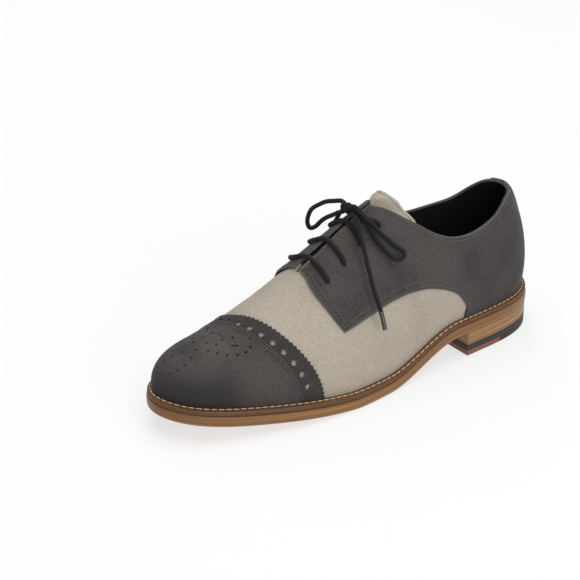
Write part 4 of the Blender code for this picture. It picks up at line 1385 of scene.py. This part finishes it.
def make_welt():
    n = 480
    prof = [(2.4, 0.25), (1.0, 0.25), (0.62, 0.5), (0.5, 1.1), (0.5, 2.2), (0.62, 2.75), (0.95, 3.08), (1.5, WELT_T)]
    rows = []
    for inset, h in prof:
        l = edge_loop(n, inset)
        rows.append((l, under_z(l[:, 1]) + SOLE_T + h))
    # groove for the thread, then under the upper
    for inset, h in ((-2.75, 0.0), (-2.2, -0.30), (-1.6, -0.30), (-1.05, 0.0), (4.0, 0.0)):
        l = feather_line(2880, inset)[(np.arange(n) * 6)]
        rows.append((l, under_z(l[:, 1]) + SOLE_T + WELT_T + h))
    l = feather_line(2880, 4.0)[(np.arange(n) * 6)]
    rows.append((l, under_z(l[:, 1]) + SOLE_T + 0.25))
    ob = loops_body("welt_strip", rows, [M_WELT], lambda r: 0, n=n, closed=True)
    finish_piece(ob, "welt_leather", "welt")
    # thread along the whole welt
    l = feather_line(2880, -1.9)
    p = np.c_[l, seat_z(l[:, 1]) + 0.12]
    p = np.r_[p, p[:1]]
    pts = polyline(p, 4.7)
    nrm = np.tile(np.array([0.0, 0.0, 1.0]), (len(pts), 1))
    verts, faces = stitches([(pts, nrm)], 0.95, share=0.84, sides=8, flat=0.7)
    ob = mesh_piece("welt_stitches", verts, faces, [M_THREAD])
    finish_piece(ob, "welt_leather")


def heel_outline(front, back, n=260, inset=0.0):
    e = sole_edge()
    e = e - outward(e) * inset
    k = int(np.argmax(e[:, 1]))
    lat, med = e[:k + 1], np.r_[e[k:], e[:1]][::-1]
    sides = []
    for g in (lat, med):
        g = g[(g[:, 1] <= front) & (g[:, 1] >= back)]
        c = np.r_[0, np.cumsum(np.hypot(*np.diff(g, axis=0).T))]
        t = np.linspace(0, c[-1], n // 2 - 8)
        sides.append(np.stack([np.interp(t, c, g[:, 0]), np.interp(t, c, g[:, 1])], -1))
    lat, med = sides
    lat[-1, 1] = med[-1, 1] = front
    across = np.linspace(0, 1, 16)[1:-1]
    breast = lat[-1] + (med[-1] - lat[-1]) * across[:, None]
    if back > 0:
        lat[0, 1] = med[0, 1] = back
        rear = med[0] + (lat[0] - med[0]) * across[:, None]
        return np.r_[lat, breast, med[::-1], rear]
    return np.r_[lat, breast, med[::-1][:-1]]


def prism(name, outline, low, high, mat, bevel=0.35):
    """Layer over a plan outline with softly broken edges."""
    n = len(outline)
    t = np.roll(outline, -1, 0) - np.roll(outline, 1, 0)
    nn = np.stack([t[:, 1], -t[:, 0]], -1)
    nn /= np.maximum(np.hypot(nn[:, 0], nn[:, 1]), 1e-9)[:, None]
    centre = outline.mean(0)
    if ((outline - centre) * nn).sum() < 0:
        nn = -nn
    verts, faces = [], []
    rows = [(bevel, low, 0.0), (0.0, low, bevel), (0.0, high, -bevel), (bevel, high, 0.0)]
    for inset, z, dz in rows:
        p = outline - nn * inset
        zz = (z(p[:, 1]) if callable(z) else np.full(n, z)) + dz
        verts.append(np.c_[p, zz])
    verts = np.concatenate(verts)
    for r in range(3):
        for k in range(n):
            m = (k + 1) % n
            faces.append((r * n + k, r * n + m, (r + 1) * n + m, (r + 1) * n + k))
    faces.append(tuple(range(n)))
    faces.append(tuple(3 * n + k for k in reversed(range(n))))
    return mesh_piece(name, verts, faces, [mat], angle=0.5)


def make_heel():
    top = TOP_PIECE_T + RUBBER_T
    whole = heel_outline(HEEL_LEN, 0.0, inset=0.35)
    finish_piece(prism("heel_layers", whole, top + 0.1, lambda s: under_z(s) - 0.1, M_HEEL, 0.25),
                 "heel_leather", "heel_stack")
    rub = prism("heel_rubber_layer", whole, TOP_PIECE_T + 0.0, top, M_RUBBER, 0.3)
    finish_piece(rub, "rubber", "heel_rubber")
    rear = heel_outline(RUBBER_FRONT, 0.0, inset=0.35)
    finish_piece(prism("heel_rubber_rear", rear, 0.0, TOP_PIECE_T + 0.35, M_RUBBER, 0.3), "rubber")
    front = heel_outline(HEEL_LEN, RUBBER_FRONT + 0.2, inset=0.35)
    finish_piece(prism("heel_front_piece", front, 0.0, TOP_PIECE_T - 0.1, M_TOP_PIECE, 0.3),
                 "top_piece_leather", "heel_front_leather")


make_outsole()
make_welt()
make_heel()
NODES["insole"].data.materials.clear()
NODES["insole"].data.materials.append(M_LINING)


# ------------------------------------------------------------ laces
def cord_curve(name, route, diameter, mat, n):
    cu = bpy.data.curves.new(name, "CURVE")
    cu.dimensions = "3D"
    cu.bevel_depth = diameter * 0.0005
    cu.bevel_resolution = 4
    cu.use_fill_caps = True
    sp = cu.splines.new("POLY")
    pts = place(along(route, n))
    sp.points.add(len(pts) - 1)
    for k, p in enumerate(pts):
        sp.points[k].co = (*p, 1.0)
    sp.use_smooth = True
    cu.materials.append(mat)
    ob = bpy.data.objects.new(name, cu)
    bpy.context.scene.collection.objects.link(ob)
    return ob, pts


def declare(ob, slot, node):
    finish_piece(ob, slot, node)


BAR_D = 3.1            # the crossings lie a little flatter and wider
BOW_D = 3.0
# how far each point of the inner loop hangs below the tables (mm)
LOOP_SAG = [0.4, 0.8, 1.0, 1.0, 0.6, 0.2, 0.0, 0.0, 0.5, 1.5, 2.7, 3.6, 3.6]


def make_laces():
    for k, (q, v) in enumerate(EYELETS):
        top = k == len(EYELETS) - 1
        half = []
        for side in (1, -1):
            edge = open_v(side, q)
            if top:        # the uppermost strands run forward to the knot
                tt = v + np.linspace(0, 0.13, 16)
                qq = q + np.linspace(0, 0.040, 16)
            else:
                tt = np.linspace(v, edge - 0.004, 22)
                qq = np.full(22, q)
            p = LAST.point(side, qq, tt)
            gone = np.r_[0, np.cumsum(np.linalg.norm(np.diff(p, axis=0), axis=1))]
            lie = OVER_UP + FLAP_LIFT * smoothstep(135.0, 185.0, p[:, 1]) + BAR_D / 2 + 0.02
            lie = lie - 3.4 * (1 - smoothstep(0.2, 2.6, gone))
            if not top:    # the crossings slip a little down the instep
                part = gone / gone[-1]
                slip = 1.0 * smoothstep(0.2, 1.0, part) if side > 0 else (
                    3.4 * smoothstep(0.0, 0.45, part) * (1 - 0.45 * smoothstep(0.75, 1.0, part)))
                qq = qq + slip / 201.0
            half.append(on(side, qq, tt, lie))
        if top:
            centre = np.array(KNOT_AT) + np.array([[1.6, -0.6, -2.0], [-1.6, -0.6, -2.0]])
            route = np.r_[half[0], centre, half[1][::-1]]
        else:
            route = np.r_[half[0], half[1][::-1]]
        ob, _ = cord_curve("lace_across_%d" % (k + 1), route, BAR_D, M_LACE, 110)
        finish_piece(ob, "lace", "lace_bar_%d" % (k + 1))
    a = np.linspace(0, KNOT_TURNS * 2 * np.pi, 90)
    helix = np.stack([(a / (2 * np.pi) - KNOT_TURNS / 2) * KNOT_PITCH,
                      KNOT_R * np.sin(a), KNOT_R * np.cos(a)], -1) + np.array(KNOT_AT)
    ob, pts = cord_curve("lace_knot_wraps", helix, LACE_D, M_LACE, 80)
    declare(ob, "lace", "lace_knot")
    heart = np.array(KNOT_AT)
    route = np.r_[[heart + np.array([3.0, -0.8, 0.4])], LOOP_LATERAL, [heart + np.array([3.0, -0.4, 1.6])]]
    ob, pts = cord_curve("bow_loop_lateral", route, BOW_D, M_LACE, 110)
    declare(ob, "lace", "lace_loop_lateral")
    route = np.array(LOOP_MEDIAL) - np.outer(LOOP_SAG, [0.0, 0.0, 1.0])
    route = np.r_[[heart + np.array([-2.4, 0.2, 1.6])], route, [heart + np.array([-2.2, 1.6, -2.6])]]
    ob, pts = cord_curve("bow_loop_medial", route, BOW_D, M_LACE, 110)
    declare(ob, "lace", "lace_loop_medial")
    for side, name in ((1, "lateral"), (-1, "medial")):
        t = np.array(LACE_END[name])
        route = np.r_[[END_START[name]], over_surface(side, t[:, 0], t[:, 1], t[:, 2])]
        ob, pts = cord_curve("lace_tail_" + name, route, LACE_D, M_LACE, 80)
        tip = along(route, 80)[-13:]
        ag, _ = cord_curve("aglet_" + name, tip, LACE_D + 0.25, M_AGLET, 12)
        finish_piece(ag, "lace")
        declare(ob, "lace", "lace_end_" + name)


def over_surface(side, q, v, d):
    return LAST.point(side, q, v) + LAST.normal(side, q, v) * np.asarray(d)[..., None]


make_laces()


# ------------------------------------------------------------ floor and light
def make_stage():
    mesh = bpy.data.meshes.new("floor")
    r = 6.0
    mesh.from_pydata([(-r, -r, 0), (r, -r, 0), (r, r, 0), (-r, r, 0)], [], [(0, 1, 2, 3)])
    n = Nodes("floor_pale", 0.9)
    n.set("Base Color", (0.25, 0.25, 0.25, 1.0))
    n.set("Specular IOR Level", 0.1)
    n.set("Emission Color", (1.0, 1.0, 1.0, 1.0))
    n.set("Emission Strength", 0.668)
    mesh.materials.append(n.mat)
    ob = bpy.data.objects.new("floor", mesh)
    bpy.context.scene.collection.objects.link(ob)
    w = bpy.data.worlds.new("studio")
    bpy.context.scene.world = w
    w.use_nodes = True
    bg = w.node_tree.nodes["Background"]
    bg.inputs["Color"].default_value = (1.0, 1.0, 1.0, 1.0)
    bg.inputs["Strength"].default_value = 0.35
    for name, at, size, power in (("top", (0.15, 0.10, 2.2), 2.6, 47.0),
                                  ("fill", (1.6, -0.2, 0.7), 1.2, 14.0),
                                  ("rim", (-1.0, 0.4, 1.0), 0.9, 4.0)):
        d = bpy.data.lights.new(name, "AREA")
        d.size = size
        d.energy = power
        o = bpy.data.objects.new(name, d)
        bpy.context.scene.collection.objects.link(o)
        o.location = at
        o.rotation_euler = (Vector((0, 0, 0.04)) - Vector(at)).to_track_quat("-Z", "Y").to_euler()
    bpy.context.scene.view_settings.view_transform = "Standard"


make_stage()
